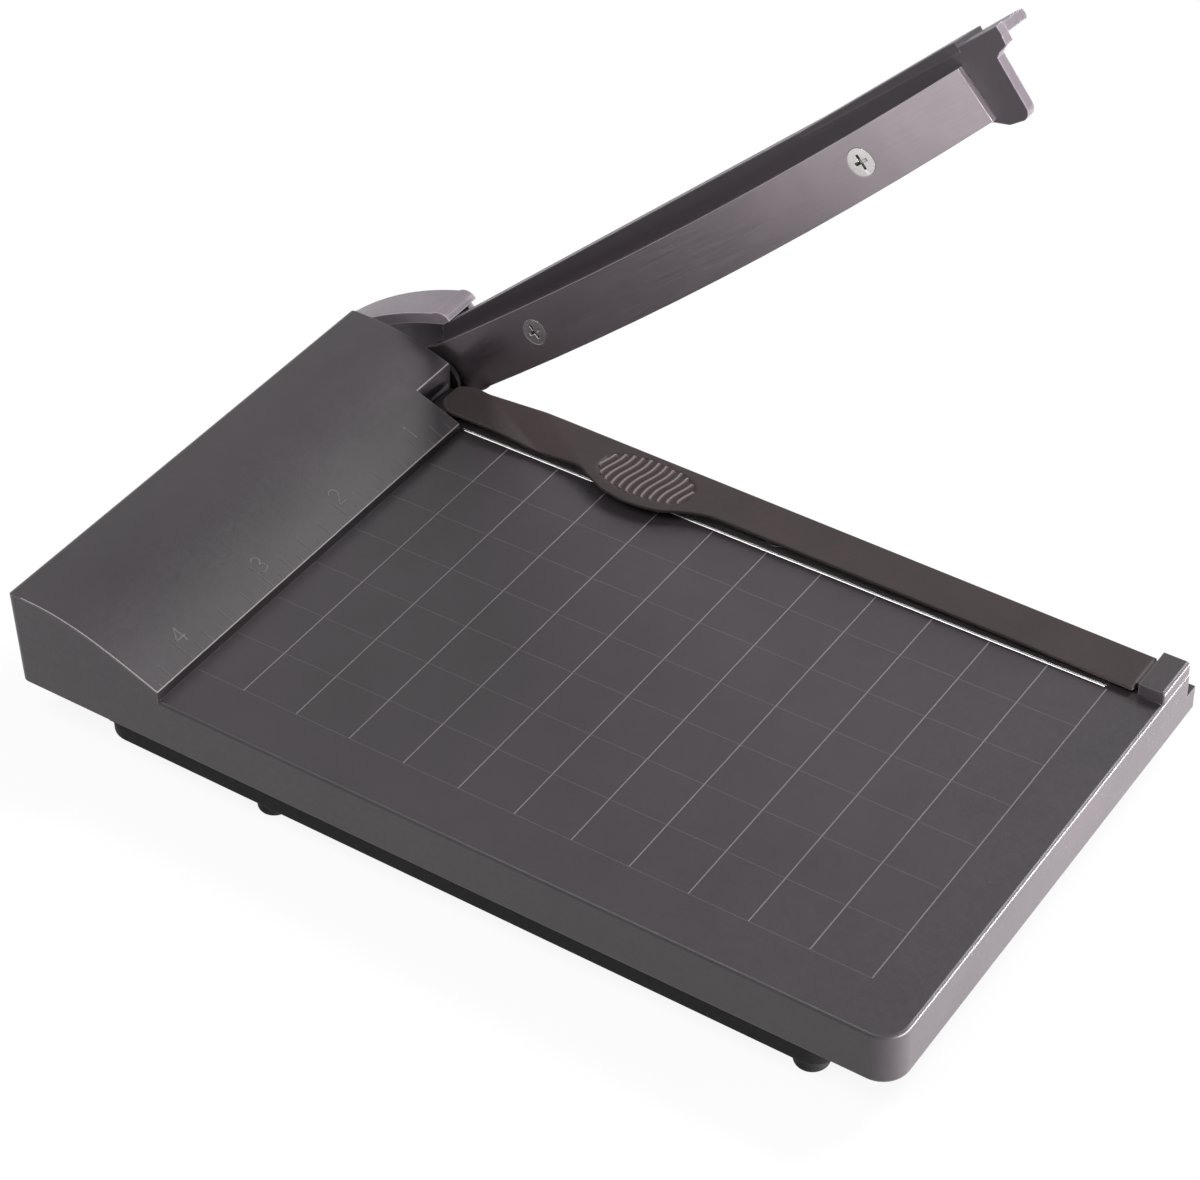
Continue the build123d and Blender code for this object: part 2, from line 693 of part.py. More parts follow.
# Flange along the top, flared at the free end, drooping a little away from the table
with BuildPart() as top_flange:
    with BuildSketch(arm_section(flange_start_s)):
        with BuildLine():
            Polyline(
                (0, arm_top_t),
                (flare_width, arm_top_t - flare_width * flange_droop),
                (flare_width, arm_top_t - flare_width * flange_droop - flange_thickness),
                (0, arm_top_t - flange_thickness),
                close=True,
            )
        flange_section = make_face()
        fillet(flange_section.vertices().group_by(Axis.X)[-1], flange_tip_r)
    extrude(amount=arm_end_s - flange_start_s)
    with BuildSketch(Plane(origin=(arm_front_x, pivot_y, pivot_z), x_dir=arm_along, z_dir=arm_up)):
        with BuildLine():
            Polyline(
                (flange_start_s, 0),
                (arm_end_s, 0),
                (arm_end_s - 4.7, flare_width),
                (arm_end_s - 6.5, flare_width),
                (158.0, flange_width),
                (flange_start_s, flange_width),
                close=True,
            )
        make_face()
    extrude(amount=20.0, mode=Mode.INTERSECT)

# Thumb rest on the flange: a wedge that rises towards the free end and follows the droop
flange_across = Vector(1, 0, 0) - Vector(*arm_up) * flange_droop
flange_edge = Vector(arm_front_x, pivot_y, pivot_z) + Vector(*arm_up) * arm_top_t
with BuildPart() as thumb_pad:
    with BuildSketch(Plane(origin=flange_edge, x_dir=arm_along, z_dir=-flange_across)):
        with BuildLine():
            Polyline(
                (pad_start_s, 0),
                (pad_end_s - 3.0, pad_height),
                (pad_end_s, pad_height),
                (pad_end_s, -flange_thickness / 2),
                (pad_start_s, -flange_thickness / 2),
                close=True,
            )
        make_face()
    extrude(amount=-flange_width + 0.1)

with BuildPart() as lever_arm:
    with BuildSketch(arm_plane(arm_back_x)) as wall_outline:
        with BuildLine():
            Polyline(
                (2.0, 6.2),
                (4.5, 6.2),
                (7.1, arm_top_t),
                (arm_end_s, arm_top_t),
                (arm_end_s - 0.4, 5.6),
                (174.3, 5.1),
                (173.2, 4.4),
                (172.4, -6.0),
            )
            ThreePointArc((172.4, -6.0), (171.7, -7.3), (170.0, -7.7))
            Polyline(
                (170.0, -7.7),
                (167.2, -7.3),
                (164.4, -5.5),
                (160.0, -4.2),
                (20.0, -4.2),
                (2.0, -6.0),
                (2.0, 6.2),
            )
        make_face()
        Circle(blade_hub_r)
    extrude(amount=arm_wall)
    # heel that stops the opening lever on the ledge
    with BuildSketch(Plane(origin=(arm_back_x, pivot_y, pivot_z), x_dir=(0, -1, 0), z_dir=(-1, 0, 0))):
        heel_reach = pivot_z - ledge_top - 0.05
        with BuildLine():
            Polyline((2.6, -9.6), (5.0, -4.0), (-5.0, -4.0), (-3.5, -heel_reach), (0, -heel_reach))
            TangentArc((0, -heel_reach), (2.6, -9.6), tangent=(1, 0))
        make_face()
    extrude(amount=arm_wall)
    add(top_flange.part)
    add(thumb_pad.part)
    with BuildSketch(arm_plane_outward(arm_back_x)):
        Circle(blade_hub_r - 0.5)
    extrude(amount=hub_boss_height)
    with BuildSketch(arm_plane_outward(arm_back_x)):
        with Locations(*cover_post_points):
            Circle(cover_post_r)
    extrude(amount=cover_back_x - cover_back_wall - arm_back_x)
    for station in rib_stations:
        with BuildSketch(arm_section(station)):
            with BuildLine():
                Polyline((arm_wall, -3.2), (arm_wall, 7.4), (arm_wall + 5.6, 6.8), close=True)
            make_face()
        extrude(amount=rib_thickness)
    with BuildSketch(arm_plane_outward(arm_front_x)):
        Circle(bush_r + 0.01)
        with Locations(*screw_points_outward):
            Circle(blade_screw_r + 0.1)
    extrude(amount=arm_wall + hub_boss_height, mode=Mode.SUBTRACT)
    with BuildSketch(arm_plane_outward(cover_back_x - cover_back_wall - post_screw_length + 1.0)):
        with Locations(*cover_post_points):
            Circle(post_screw_r + 0.01)
    extrude(amount=post_screw_length, mode=Mode.SUBTRACT)
lever_arm.part.label = "lever_arm"
export_step(lever_arm.part, "parts/lever_arm.step")


# ---------------------------------------------------------------- hub cover
cover_front_x = arm_front_x - 0.25
with BuildPart() as hub_cover:
    with BuildSketch(arm_plane(cover_back_x)):
        with BuildLine():
            Polyline((8.1, 5.9), (8.1, 9.6), (10.1, 9.6), (10.1, 10.6))
            ThreePointArc((10.1, 10.6), (9.3, 11.9), (7.1, 12.9))
            ThreePointArc((7.1, 12.9), (-9.5, 18.3), (-25.1, 20.0))
            ThreePointArc((-25.1, 20.0), (-28.3, 19.0), (-29.5, 16.2))
            ThreePointArc((-29.5, 16.2), (-22.0, 3.0), (-9.0, -5.4))
            ThreePointArc((-9.0, -5.4), (-4.4, -8.5), (1.0, -7.6))
            Polyline((1.0, -7.6), (8.0, -5.6), (16.5, -1.2), (16.5, 5.9), (8.1, 5.9))
        make_face()
    extrude(amount=cover_back_x - cover_front_x)
    with BuildSketch(arm_plane(cover_back_x - cover_back_wall)):
        with BuildLine():
            ThreePointArc((7.9, 9.7), (-10.1, 16.0), (-24.9, 17.6))
            Polyline(
                (-24.9, 17.6),
                (-27.0, 16.8),
                (-32.0, 10.0),
                (-32.0, -14.0),
                (20.0, -14.0),
                (20.0, 7.0),
                (8.3, 7.0),
                (8.3, 9.55),
                (7.9, 9.7),
            )
        make_face()
    extrude(amount=cover_back_x, mode=Mode.SUBTRACT)
    with BuildSketch(arm_plane_outward(cover_back_x - cover_back_wall)):
        with Locations(*cover_post_points):
            Circle(post_screw_r + 0.05)
    extrude(amount=cover_back_wall, mode=Mode.SUBTRACT)
    with BuildSketch(arm_plane(cover_back_x)):
        with Locations(*cover_posts):
            Circle(post_screw_head_r + 0.05)
    extrude(amount=post_screw_head_r - post_screw_r, taper=45, mode=Mode.SUBTRACT)
hub_cover.part.label = "hub_cover"
export_step(hub_cover.part, "parts/hub_cover.step")

with BuildPart() as hub_cover_screws:
    with BuildSketch(arm_plane(cover_back_x)):
        with Locations(*cover_posts):
            Circle(post_screw_head_r)
    extrude(amount=post_screw_head_r - post_screw_r, taper=45)
    with BuildSketch(arm_plane(cover_back_x)):
        with Locations(*cover_posts):
            Circle(post_screw_r)
    extrude(amount=post_screw_length)
    slots = cross_slots(arm_plane(cover_back_x), cover_posts, 1.1)
    extrude(slots, amount=0.6, mode=Mode.SUBTRACT)
hub_cover_screws.part.label = "hub_cover_screws"
export_step(hub_cover_screws.part, "parts/hub_cover_screws.step")


# ---------------------------------------------------------------- clamp bar
with BuildPart() as clamp_bar:
    with BuildSketch(side_plane(clamp_back_x)):
        with BuildLine():
            Polyline(
                (-clamp_hinge_y, table_top + clamp_gap_hinge),
                (-clamp_handle_y, table_top + clamp_gap_handle),
                (-clamp_handle_y, table_top + clamp_top_handle),
                (-clamp_bend_y, table_top + clamp_top_hinge),
                (-clamp_hinge_y, table_top + clamp_top_hinge),
                close=True,
            )
        make_face()
    extrude(amount=clamp_back_x - clamp_tab_x)
    with BuildSketch(Plane.XY.offset(table_top)) as bar_outline:
        with Locations(((clamp_back_x + clamp_front_x) / 2, (clamp_hinge_y + clamp_handle_y) / 2)):
            Rectangle(clamp_back_x - clamp_front_x, clamp_hinge_y - clamp_handle_y)
        fillet(bar_outline.vertices().group_by(Axis.Y)[-1], 4.6)
        with BuildLine():
            Spline(
                (clamp_front_x + 0.1, clamp_tab_y + clamp_tab_reach),
                (clamp_front_x - 2.6, clamp_tab_y + 10.5),
                (clamp_tab_x, clamp_tab_y),
                (clamp_front_x - 2.6, clamp_tab_y - 9.0),
                (clamp_front_x + 0.1, clamp_tab_y - clamp_tab_reach),
                tangents=((0, -1), (0, -1)),
            )
            Line(
                (clamp_front_x + 0.1, clamp_tab_y - clamp_tab_reach),
                (clamp_front_x + 0.1, clamp_tab_y + clamp_tab_reach),
            )
        make_face()
    extrude(amount=10.0, mode=Mode.INTERSECT)
    # knuckle round the hinge pin
    with BuildSketch(side_plane(knuckle_x1)):
        with Locations((-clamp_pin_y, clamp_pin_z)):
            Circle(knuckle_r)
        with BuildLine():
            Polyline(
                (-clamp_handle_y - 1.0, table_top + clamp_gap_handle + 0.02),
                (-clamp_pin_y, table_top - 1.2),
                (-clamp_pin_y, table_top + clamp_top_handle),
                (-clamp_handle_y - 1.0, table_top + clamp_top_handle - 0.1),
                close=True,
            )
        make_face()
    extrude(amount=knuckle_x1 - knuckle_x0)
    with BuildSketch(side_plane(knuckle_x1)):
        with Locations((-clamp_pin_y, clamp_pin_z)):
            Circle(clamp_pin_r + 0.05)
    extrude(amount=knuckle_x1 - knuckle_x0, mode=Mode.SUBTRACT)
    # guide post for the spring
    with BuildSketch(Plane.XY.offset(post_end)):
        with Locations((spring_x, spring_y)):
            Circle(post_r)
    extrude(amount=table_top + clamp_top_hinge - 1.0 - post_end)
    with BuildSketch(Plane.XY.offset(post_end)):
        with Locations((spring_x, spring_y)):
            Circle(stop_screw_r + 0.01)
    extrude(amount=5.0, mode=Mode.SUBTRACT)
clamp_bar.part.label = "clamp_bar"
export_step(clamp_bar.part, "parts/clamp_bar.step")

with BuildPart() as clamp_pin:
    with BuildSketch(Plane(origin=(support_x - 0.1, clamp_pin_y, clamp_pin_z), z_dir=(-1, 0, 0))):
        Circle(clamp_pin_r)
    extrude(amount=support_x - stop_front_x - 0.9)
clamp_pin.part.label = "clamp_pin"
export_step(clamp_pin.part, "parts/clamp_pin.step")

clamp_slope = (clamp_gap_hinge - clamp_gap_handle) / (clamp_hinge_y - clamp_handle_y)
spring_top = table_top + clamp_gap_handle + (spring_y - spring_r - clamp_handle_y) * clamp_slope
spring_height = spring_top - spring_pocket_floor - 2 * spring_wire_r - 0.06
with BuildPart() as clamp_spring:
    with BuildLine() as coil:
        Helix(
            pitch=spring_height / spring_turns,
            height=spring_height,
            radius=spring_r,
            center=(spring_x, spring_y, spring_pocket_floor + spring_wire_r + 0.01),
        )
    with BuildSketch(Plane(origin=coil.line @ 0, z_dir=coil.line % 0)):
        Circle(spring_wire_r)
    sweep()
clamp_spring.part.label = "clamp_spring"
export_step(clamp_spring.part, "parts/clamp_spring.step")

with BuildPart() as clamp_stop_washer:
    with BuildSketch(Plane.XY.offset(post_end)):
        with Locations((spring_x, spring_y)):
            Circle(stop_washer_r)
            Circle(stop_screw_r + 0.02, mode=Mode.SUBTRACT)
    extrude(amount=-stop_washer_thickness)
clamp_stop_washer.part.label = "clamp_stop_washer"
export_step(clamp_stop_washer.part, "parts/clamp_stop_washer.step")

stop_head_top = post_end - stop_washer_thickness
with BuildPart() as clamp_stop_screw:
    with BuildSketch(Plane.XY.offset(stop_head_top)):
        with Locations((spring_x, spring_y)):
            Circle(stop_head_r)
    extrude(amount=-stop_head_height)
    with BuildSketch(Plane.XY.offset(stop_head_top)):
        with Locations((spring_x, spring_y)):
            Circle(stop_screw_r)
    extrude(amount=4.5)
    slot_plane = Plane.XY.offset(stop_head_top - stop_head_height)
    extrude(cross_slots(slot_plane, [(spring_x, spring_y)], 0.8), amount=0.5, mode=Mode.SUBTRACT)
clamp_stop_screw.part.label = "clamp_stop_screw"
export_step(clamp_stop_screw.part, "parts/clamp_stop_screw.step")
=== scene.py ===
import json
import math

import bpy
from mathutils import Matrix, Vector
from mathutils.bvhtree import BVHTree


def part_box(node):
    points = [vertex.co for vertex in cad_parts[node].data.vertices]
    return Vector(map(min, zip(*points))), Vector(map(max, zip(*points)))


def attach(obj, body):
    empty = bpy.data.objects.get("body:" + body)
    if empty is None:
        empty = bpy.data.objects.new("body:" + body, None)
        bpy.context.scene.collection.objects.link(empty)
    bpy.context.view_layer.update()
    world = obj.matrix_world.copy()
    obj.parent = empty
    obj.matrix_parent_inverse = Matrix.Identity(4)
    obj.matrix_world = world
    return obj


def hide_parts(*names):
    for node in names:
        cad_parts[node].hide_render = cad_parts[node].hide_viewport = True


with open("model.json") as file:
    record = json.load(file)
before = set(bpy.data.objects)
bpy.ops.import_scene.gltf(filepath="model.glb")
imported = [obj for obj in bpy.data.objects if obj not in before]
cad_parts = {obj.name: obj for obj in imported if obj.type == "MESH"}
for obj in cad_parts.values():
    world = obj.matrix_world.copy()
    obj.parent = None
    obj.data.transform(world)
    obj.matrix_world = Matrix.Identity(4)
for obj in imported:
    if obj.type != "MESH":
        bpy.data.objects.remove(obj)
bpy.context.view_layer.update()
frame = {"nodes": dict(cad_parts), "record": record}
nodes = frame["nodes"]
mm = 0.001


# a node's lowest and highest corners, in the millimetres that the solids are drawn in
def boxOf(name):
    return [[round(value / mm, 2) for value in corner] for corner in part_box(name)]


stripBox = boxOf("fixed_blade")
clampBox = boxOf("clamp_bar")
springBox = boxOf("clamp_spring")
pinBox = boxOf("clamp_pin")

# where things are on the cutter, in millimetres
base = {
    "tableTop": stripBox[1][2],  # the fixed blade lies flush with the table
    "cutX": stripBox[1][0],
    "nearX": boxOf("top_housing")[0][0],
    "fenceY": 57.6,
    "gridZeroY": 58.6,
    "inch": 25.4,
}


def newFinish(name):
    finish = bpy.data.materials.new(name + "Finish")
    finish.use_nodes = True
    finish.node_tree.nodes.clear()
    return finish, finish.node_tree


def node(tree, kind, **settings):
    made = tree.nodes.new(kind)
    for key, value in settings.items():
        if key in made.inputs:
            made.inputs[key].default_value = value
        else:
            setattr(made, key, value)
    return made


def mixColour(tree, factor, first, second):
    mix = tree.nodes.new("ShaderNodeMix")
    mix.data_type = "RGBA"
    for socket, value in ((mix.inputs[0], factor), (mix.inputs[6], first), (mix.inputs[7], second)):
        if hasattr(value, "is_output"):
            tree.links.new(value, socket)
        else:
            socket.default_value = value
    return mix.outputs[2]


def mixShader(tree, factor, first, second):
    mix = node(tree, "ShaderNodeMixShader")
    for socket, value in zip(mix.inputs, (factor, first.outputs[0], second.outputs[0])):
        tree.links.new(value, socket)
    return mix


def spread(tree, value, low, high, outLow, outHigh):
    rescale = node(tree, "ShaderNodeMapRange")
    tree.links.new(value, rescale.inputs["Value"])
    for key, number in (("From Min", low), ("From Max", high), ("To Min", outLow), ("To Max", outHigh)):
        rescale.inputs[key].default_value = number
    return rescale.outputs[0]


# detail and roughness of the noises that the finishes are made from
softNoise = (2.0, 0.5)
grittyNoise = (2.0, 0.6)
streakNoise = (3.0, 0.6)
cloudNoise = (4.0, 0.6)
noiseSpan = (0.3, 0.7)  # most of a noise lies between these values


def noise(tree, where, scale, kind):
    detail, roughness = kind
    made = node(tree, "ShaderNodeTexNoise", Scale=scale, Detail=detail, Roughness=roughness)
    tree.links.new(where, made.inputs["Vector"])
    return made.outputs["Fac"]


def byNoise(tree, value, outLow, outHigh):
    return spread(tree, value, *noiseSpan, outLow, outHigh)


def mapped(tree, where, scale=(1, 1, 1), turn=(0, 0, 0)):
    mapping = node(tree, "ShaderNodeMapping")
    mapping.inputs["Scale"].default_value = scale
    mapping.inputs["Rotation"].default_value = turn
    tree.links.new(where, mapping.inputs["Vector"])
    return mapping.outputs[0]


def tone(colour, factor):
    return tuple(min(1, c * factor) for c in colour) + (1,)


# a colour that drifts darker and lighter with a noise
def mottled(tree, colour, drift, share):
    return mixColour(tree, byNoise(tree, drift, 0, 1), tone(colour, 1 - share), tone(colour, 1 + share))


def bumped(tree, shader, height, strength, distance):
    bump = node(tree, "ShaderNodeBump")
    bump.inputs["Strength"].default_value = strength
    bump.inputs["Distance"].default_value = distance * mm
    tree.links.new(height, bump.inputs["Height"])
    tree.links.new(bump.outputs[0], shader.inputs["Normal"])


def finished(tree, shader):
    output = node(tree, "ShaderNodeOutputMaterial")
    tree.links.new(shader.outputs[0], output.inputs[0])


# what every moulding shares unless its own finish says otherwise; lengths in millimetres
plasticTexture = {
    "specular": 0.2,
    "roughnessSwing": 0.06,
    "grain": 0.35,
    "coarseGrain": 3.2,  # times the fine grain
    "coarseHeight": 0.6,
    "grainStrength": 0.6,
    "grainDepth": 0.02,
    "mottle": 0.12,
    "mottleScale": 45,
    "speckTone": 1.4,
    "speckSpan": (0.35, 0.75),
    "speckShare": 0.3,
    "wearAndHighlight": 0.6,
    "edgeMaskRadius": 0.5,
    "edgeMaskSpan": (0.006, 0.07),
    "edgeMaskSamples": 6,
    "wornAndLitTimes": 2.6,
    "wornAndLitPlus": 0.02,
}


# rises to the finish's edge lightening on rounded or sharp edges, partly wear and partly a painted
# highlight, and is 0 on flat faces
def edgeWearAndHighlight(tree, settings):
    bevel = node(tree, "ShaderNodeBevel", samples=settings["edgeMaskSamples"])
    bevel.inputs["Radius"].default_value = settings["edgeMaskRadius"] * mm
    geometry = node(tree, "ShaderNodeNewGeometry")
    dot = node(tree, "ShaderNodeVectorMath", operation="DOT_PRODUCT")
    tree.links.new(bevel.outputs[0], dot.inputs[0])
    tree.links.new(geometry.outputs["Normal"], dot.inputs[1])
    low, high = settings["edgeMaskSpan"]
    return spread(tree, dot.outputs["Value"], 1 - low, 1 - high, 0.0, settings["wearAndHighlight"])


# moulded plastic: fine spark-eroded texture, faint mottling, and edges lightened as wear and as a painted
# highlight
def mouldedPlastic(name, ownSettings):
    settings = {**plasticTexture, **ownSettings}
    colour = settings["colour"]
    roughness = settings["roughness"]
    swing = settings["roughnessSwing"]
    grain = settings["grain"] * mm
    finish, tree = newFinish(name)
    where = node(tree, "ShaderNodeTexCoord").outputs["Object"]
    fine = noise(tree, where, 1 / grain, softNoise)
    coarse = noise(tree, where, 1 / (grain * settings["coarseGrain"]), grittyNoise)
    cloud = noise(tree, where, settings["mottleScale"], cloudNoise)
    body = mottled(tree, colour, cloud, settings["mottle"])
    specks = spread(tree, fine, *settings["speckSpan"], 0, settings["speckShare"])
    specked = mixColour(tree, specks, body, tone(colour, settings["speckTone"]))
    # the edge colour, much lighter than the body: wear in part, a painted highlight in part
    wornAndLitColour = tuple(min(1, c * settings["wornAndLitTimes"] + settings["wornAndLitPlus"]) for c in colour) + (1,)
    wornAndLit = mixColour(tree, edgeWearAndHighlight(tree, settings), specked, wornAndLitColour)
    shader = node(tree, "ShaderNodeBsdfPrincipled")
    tree.links.new(wornAndLit, shader.inputs["Base Color"])
    shader.inputs["Specular IOR Level"].default_value = settings["specular"]
    uneven = byNoise(tree, coarse, roughness - swing, roughness + swing)
    tree.links.new(uneven, shader.inputs["Roughness"])
    height = node(tree, "ShaderNodeMath", operation="MULTIPLY_ADD")
    tree.links.new(coarse, height.inputs[0])
    height.inputs[1].default_value = settings["coarseHeight"]
    tree.links.new(fine, height.inputs[2])
    bumped(tree, shader, height.outputs[0], settings["grainStrength"], settings["grainDepth"])
    finished(tree, shader)
    return finish


# the same for ground steel
steelTexture = {
    "turn": 0,  # degrees from the Y axis to the scratches
    "scratchScale": 4200,
    "scratchLength": 60,  # times its width
    "scratchStrength": 0.4,
    "scratchDepth": 0.002,
    "streakTone": 0.75,
    "streakShare": 0.25,
    "stainScale": 70,
    "roughnessSwing": 0.05,
    "paintedReflectionFade": None,  # from and to, in millimetres along the steel, and how dark the painted reflection gets
    "paintedReflectionWave": 0.012,
    "paintedReflectionTone": 0.18,
}


# ground steel: fine parallel scratches along the blade, a few stains, and a painted dark reflection that
# darkens it towards the hinge
def groundSteel(name, ownSettings):
    settings = {**steelTexture, **ownSettings}
    colour = settings["colour"]
    roughness = settings["roughness"]
    swing = settings["roughnessSwing"]
    finish, tree = newFinish(name)
    where = node(tree, "ShaderNodeTexCoord").outputs["Object"]
    lengthwise = mapped(tree, where, turn=(math.radians(settings["turn"]), 0, 0))
    lined = mapped(tree, lengthwise, scale=(1, 1 / settings["scratchLength"], 1))
    scratches = noise(tree, lined, settings["scratchScale"], streakNoise)
    cloud = noise(tree, where, settings["stainScale"], cloudNoise)
    body = mottled(tree, colour, cloud, settings["stain"])
    streaks = byNoise(tree, scratches, 0, settings["streakShare"])
    surface = mixColour(tree, streaks, body, tone(colour, settings["streakTone"]))
    # darker towards the hinge: a painted reflection of the dark table
    if settings["paintedReflectionFade"]:
        place = node(tree, "ShaderNodeSeparateXYZ")
        tree.links.new(lengthwise, place.inputs[0])
        wavy = node(tree, "ShaderNodeMath", operation="MULTIPLY_ADD")
        tree.links.new(cloud, wavy.inputs[0])
        wavy.inputs[1].default_value = settings["paintedReflectionWave"]
        tree.links.new(place.outputs["Y"], wavy.inputs[2])
        near, far, share = settings["paintedReflectionFade"]
        paintedDarkening = spread(tree, wavy.outputs[0], near * mm, far * mm, share, 0.0)
        surface = mixColour(tree, paintedDarkening, surface, tone(colour, settings["paintedReflectionTone"]))
    shader = node(tree, "ShaderNodeBsdfPrincipled", Metallic=1.0)
    tree.links.new(surface, shader.inputs["Base Color"])
    uneven = byNoise(tree, scratches, roughness - swing, roughness + swing)
    tree.links.new(uneven, shader.inputs["Roughness"])
    bumped(tree, shader, scratches, settings["scratchStrength"], settings["scratchDepth"])
    finished(tree, shader)
    return finish


# and for plated or turned small parts
platedTexture = {
    "stain": 0.12,
    "stainScale": 350,
    "peelScale": 1800,
    "peelStrength": 0.4,
    "peelDepth": 0.01,
    "paintedShadeReach": 0.7,
    "paintedShadeSpan": (0.45, 0.9),
    "paintedShadeTone": 0.05,
    "paintedShadeSamples": 6,
    "smoother": 0.05,
    "rougher": 0.1,
}


# plated small parts: slight orange peel, handling marks, and painted shade that darkens their corners and
# recesses
def platedMetal(name, ownSettings):
    settings = {**platedTexture, **ownSettings}
    colour = settings["colour"]
    roughness = settings["roughness"]
    finish, tree = newFinish(name)
    where = node(tree, "ShaderNodeTexCoord").outputs["Object"]
    peel = noise(tree, where, settings["peelScale"], softNoise)
    cloud = noise(tree, where, settings["stainScale"], streakNoise)
    body = mottled(tree, colour, cloud, settings["stain"])
    # ambient occlusion darkens corners and recesses towards a near-black tone: painted shade
    shade = node(tree, "ShaderNodeAmbientOcclusion", samples=settings["paintedShadeSamples"], only_local=False)
    shade.inputs["Distance"].default_value = settings["paintedShadeReach"] * mm
    unshadedShare = spread(tree, shade.outputs["AO"], *settings["paintedShadeSpan"], 0.0, 1.0)
    surface = mixColour(tree, unshadedShare, tone(colour, settings["paintedShadeTone"]), body)
    shader = node(tree, "ShaderNodeBsdfPrincipled", Metallic=1.0)
    tree.links.new(surface, shader.inputs["Base Color"])
    uneven = byNoise(tree, cloud, roughness - settings["smoother"], roughness + settings["rougher"])
    tree.links.new(uneven, shader.inputs["Roughness"])
    bumped(tree, shader, peel, settings["peelStrength"], settings["peelDepth"])
    finished(tree, shader)
    return finish


plastics = {
    "housingPlastic": {"colour": (0.036, 0.030, 0.034), "roughness": 0.38, "specular": 0.38},
    # the raised marks are lighter than the housing they are moulded in: painted glints on the grid lines,
    # ruler ticks and numerals
    "acrossMarks": {"colour": (0.13, 0.115, 0.124), "roughness": 0.5},
    "alongMarks": {"colour": (0.054, 0.047, 0.051), "roughness": 0.42, "specular": 0.38, "wearAndHighlight": 0.3},
    "rulerMarks": {"colour": (0.052, 0.045, 0.05), "roughness": 0.42, "specular": 0.38},
    "numeralMarks": {"colour": (0.09, 0.08, 0.085), "roughness": 0.42, "specular": 0.38},
    # a much lighter copy of the housing plastic, for the painted highlight beads on the block's edges
    "edgeHighlightPlastic": {"colour": (0.22, 0.19, 0.195), "roughness": 0.5},
    # the grip ridges: the clamp's plastic made about three times lighter, with strong edge lightening, as
    # painted highlights on the ridges
    "ridgeHighlightPlastic": {"colour": (0.11, 0.09, 0.09), "roughness": 0.4, "wearAndHighlight": 0.9},
    "coverPlastic": {"colour": (0.009, 0.008, 0.009), "roughness": 0.6, "specular": 0.1, "wearAndHighlight": 0.2},
    "footRubber": {"colour": (0.008, 0.008, 0.008), "roughness": 0.75, "grain": 0.5, "wearAndHighlight": 0.1},
    "leverPlastic": {"colour": (0.046, 0.038, 0.045), "roughness": 0.38, "specular": 0.35},
    # the hub cover is the same dark plastic, given a much lighter colour: painted light where a back light
    # falls on its top
    "paintedLitHubPlastic": {"colour": (0.21, 0.18, 0.205), "roughness": 0.42},
    "clampPlastic": {"colour": (0.035, 0.0255, 0.0255), "roughness": 0.5, "mottle": 0.18},
}
leverOpenAngle = 41.7  # the raised lever stands at this angle to the table
groundSteels = {
    # a near-white copy of the strip's steel, for the painted glint on the fixed blade's front edge
    "glintSteel": {"colour": (0.95, 0.93, 0.94), "roughness": 0.45, "stain": 0.04},
    "bladeSteel": {
        "colour": (0.50, 0.44, 0.475),
        "roughness": 0.33,
        "stain": 0.07,
        "turn": leverOpenAngle,
        "paintedReflectionFade": (16, -62, 0.12),
    },
    "stripSteel": {"colour": (0.72, 0.71, 0.71), "roughness": 0.3, "stain": 0.06},
}
platedMetals = {
    "screwSteel": {"colour": (0.86, 0.83, 0.82), "roughness": 0.2},
    "springSteel": {"colour": (0.05, 0.048, 0.046), "roughness": 0.45},
    "washerSteel": {"colour": (0.035, 0.033, 0.031), "roughness": 0.5},
    "turnedBrass": {"colour": (0.62, 0.45, 0.2), "roughness": 0.35},
}
finishes = {}
for maker, kinds in ((mouldedPlastic, plastics), (groundSteel, groundSteels), (platedMetal, platedMetals)):
    for name, settings in kinds.items():
        finishes[name] = maker(name, settings)
print("finishes made:", len(finishes))

# the finish of each material slot of the solids
slotFinish = {
    "housing": "housingPlastic",
    "cover": "coverPlastic",
    "feet": "footRubber",
    "lever": "leverPlastic",
    "hub_shell": "paintedLitHubPlastic",
    "clamp": "clampPlastic",
    "blade_steel": "bladeSteel",
    "screw_steel": "screwSteel",
    "spring_steel": "springSteel",
    "washer_steel": "washerSteel",
    "brass": "turnedBrass",
}
for part in frame["record"]["subparts"]:
    solid = nodes[part["node"]]
    solid.data.materials.clear()
    solid.data.materials.append(finishes[slotFinish[part["material_slot"]]])
    for face in solid.data.polygons:
        face.material_index = 0
nodes["fixed_blade"].data.materials[0] = finishes["stripSteel"]

# how the solids' hard edges are rounded, in millimetres and degrees
rounding = {"weld": 0.002, "flatAngle": 0.4, "segments": 3, "edgeAngle": 32, "flatWeight": 90}
edgeRounding = {
    "top_housing": 0.35,
    "bottom_cover": 0.3,
    "lever_arm": 0.3,
    "hub_cover": 0.6,
    "moving_blade": 0.08,
    "fixed_blade": 0.06,
    "blade_screws": 0.12,
    "fixed_blade_screws": 0.1,
    "hub_cover_screws": 0.1,
    "cover_screws": 0.1,
    "blade_nuts": 0.15,
    "fixed_blade_nuts": 0.15,
    "pivot_nut": 0.2,
    "pivot_washer": 0.08,
    "pivot_bolt": 0.15,
}


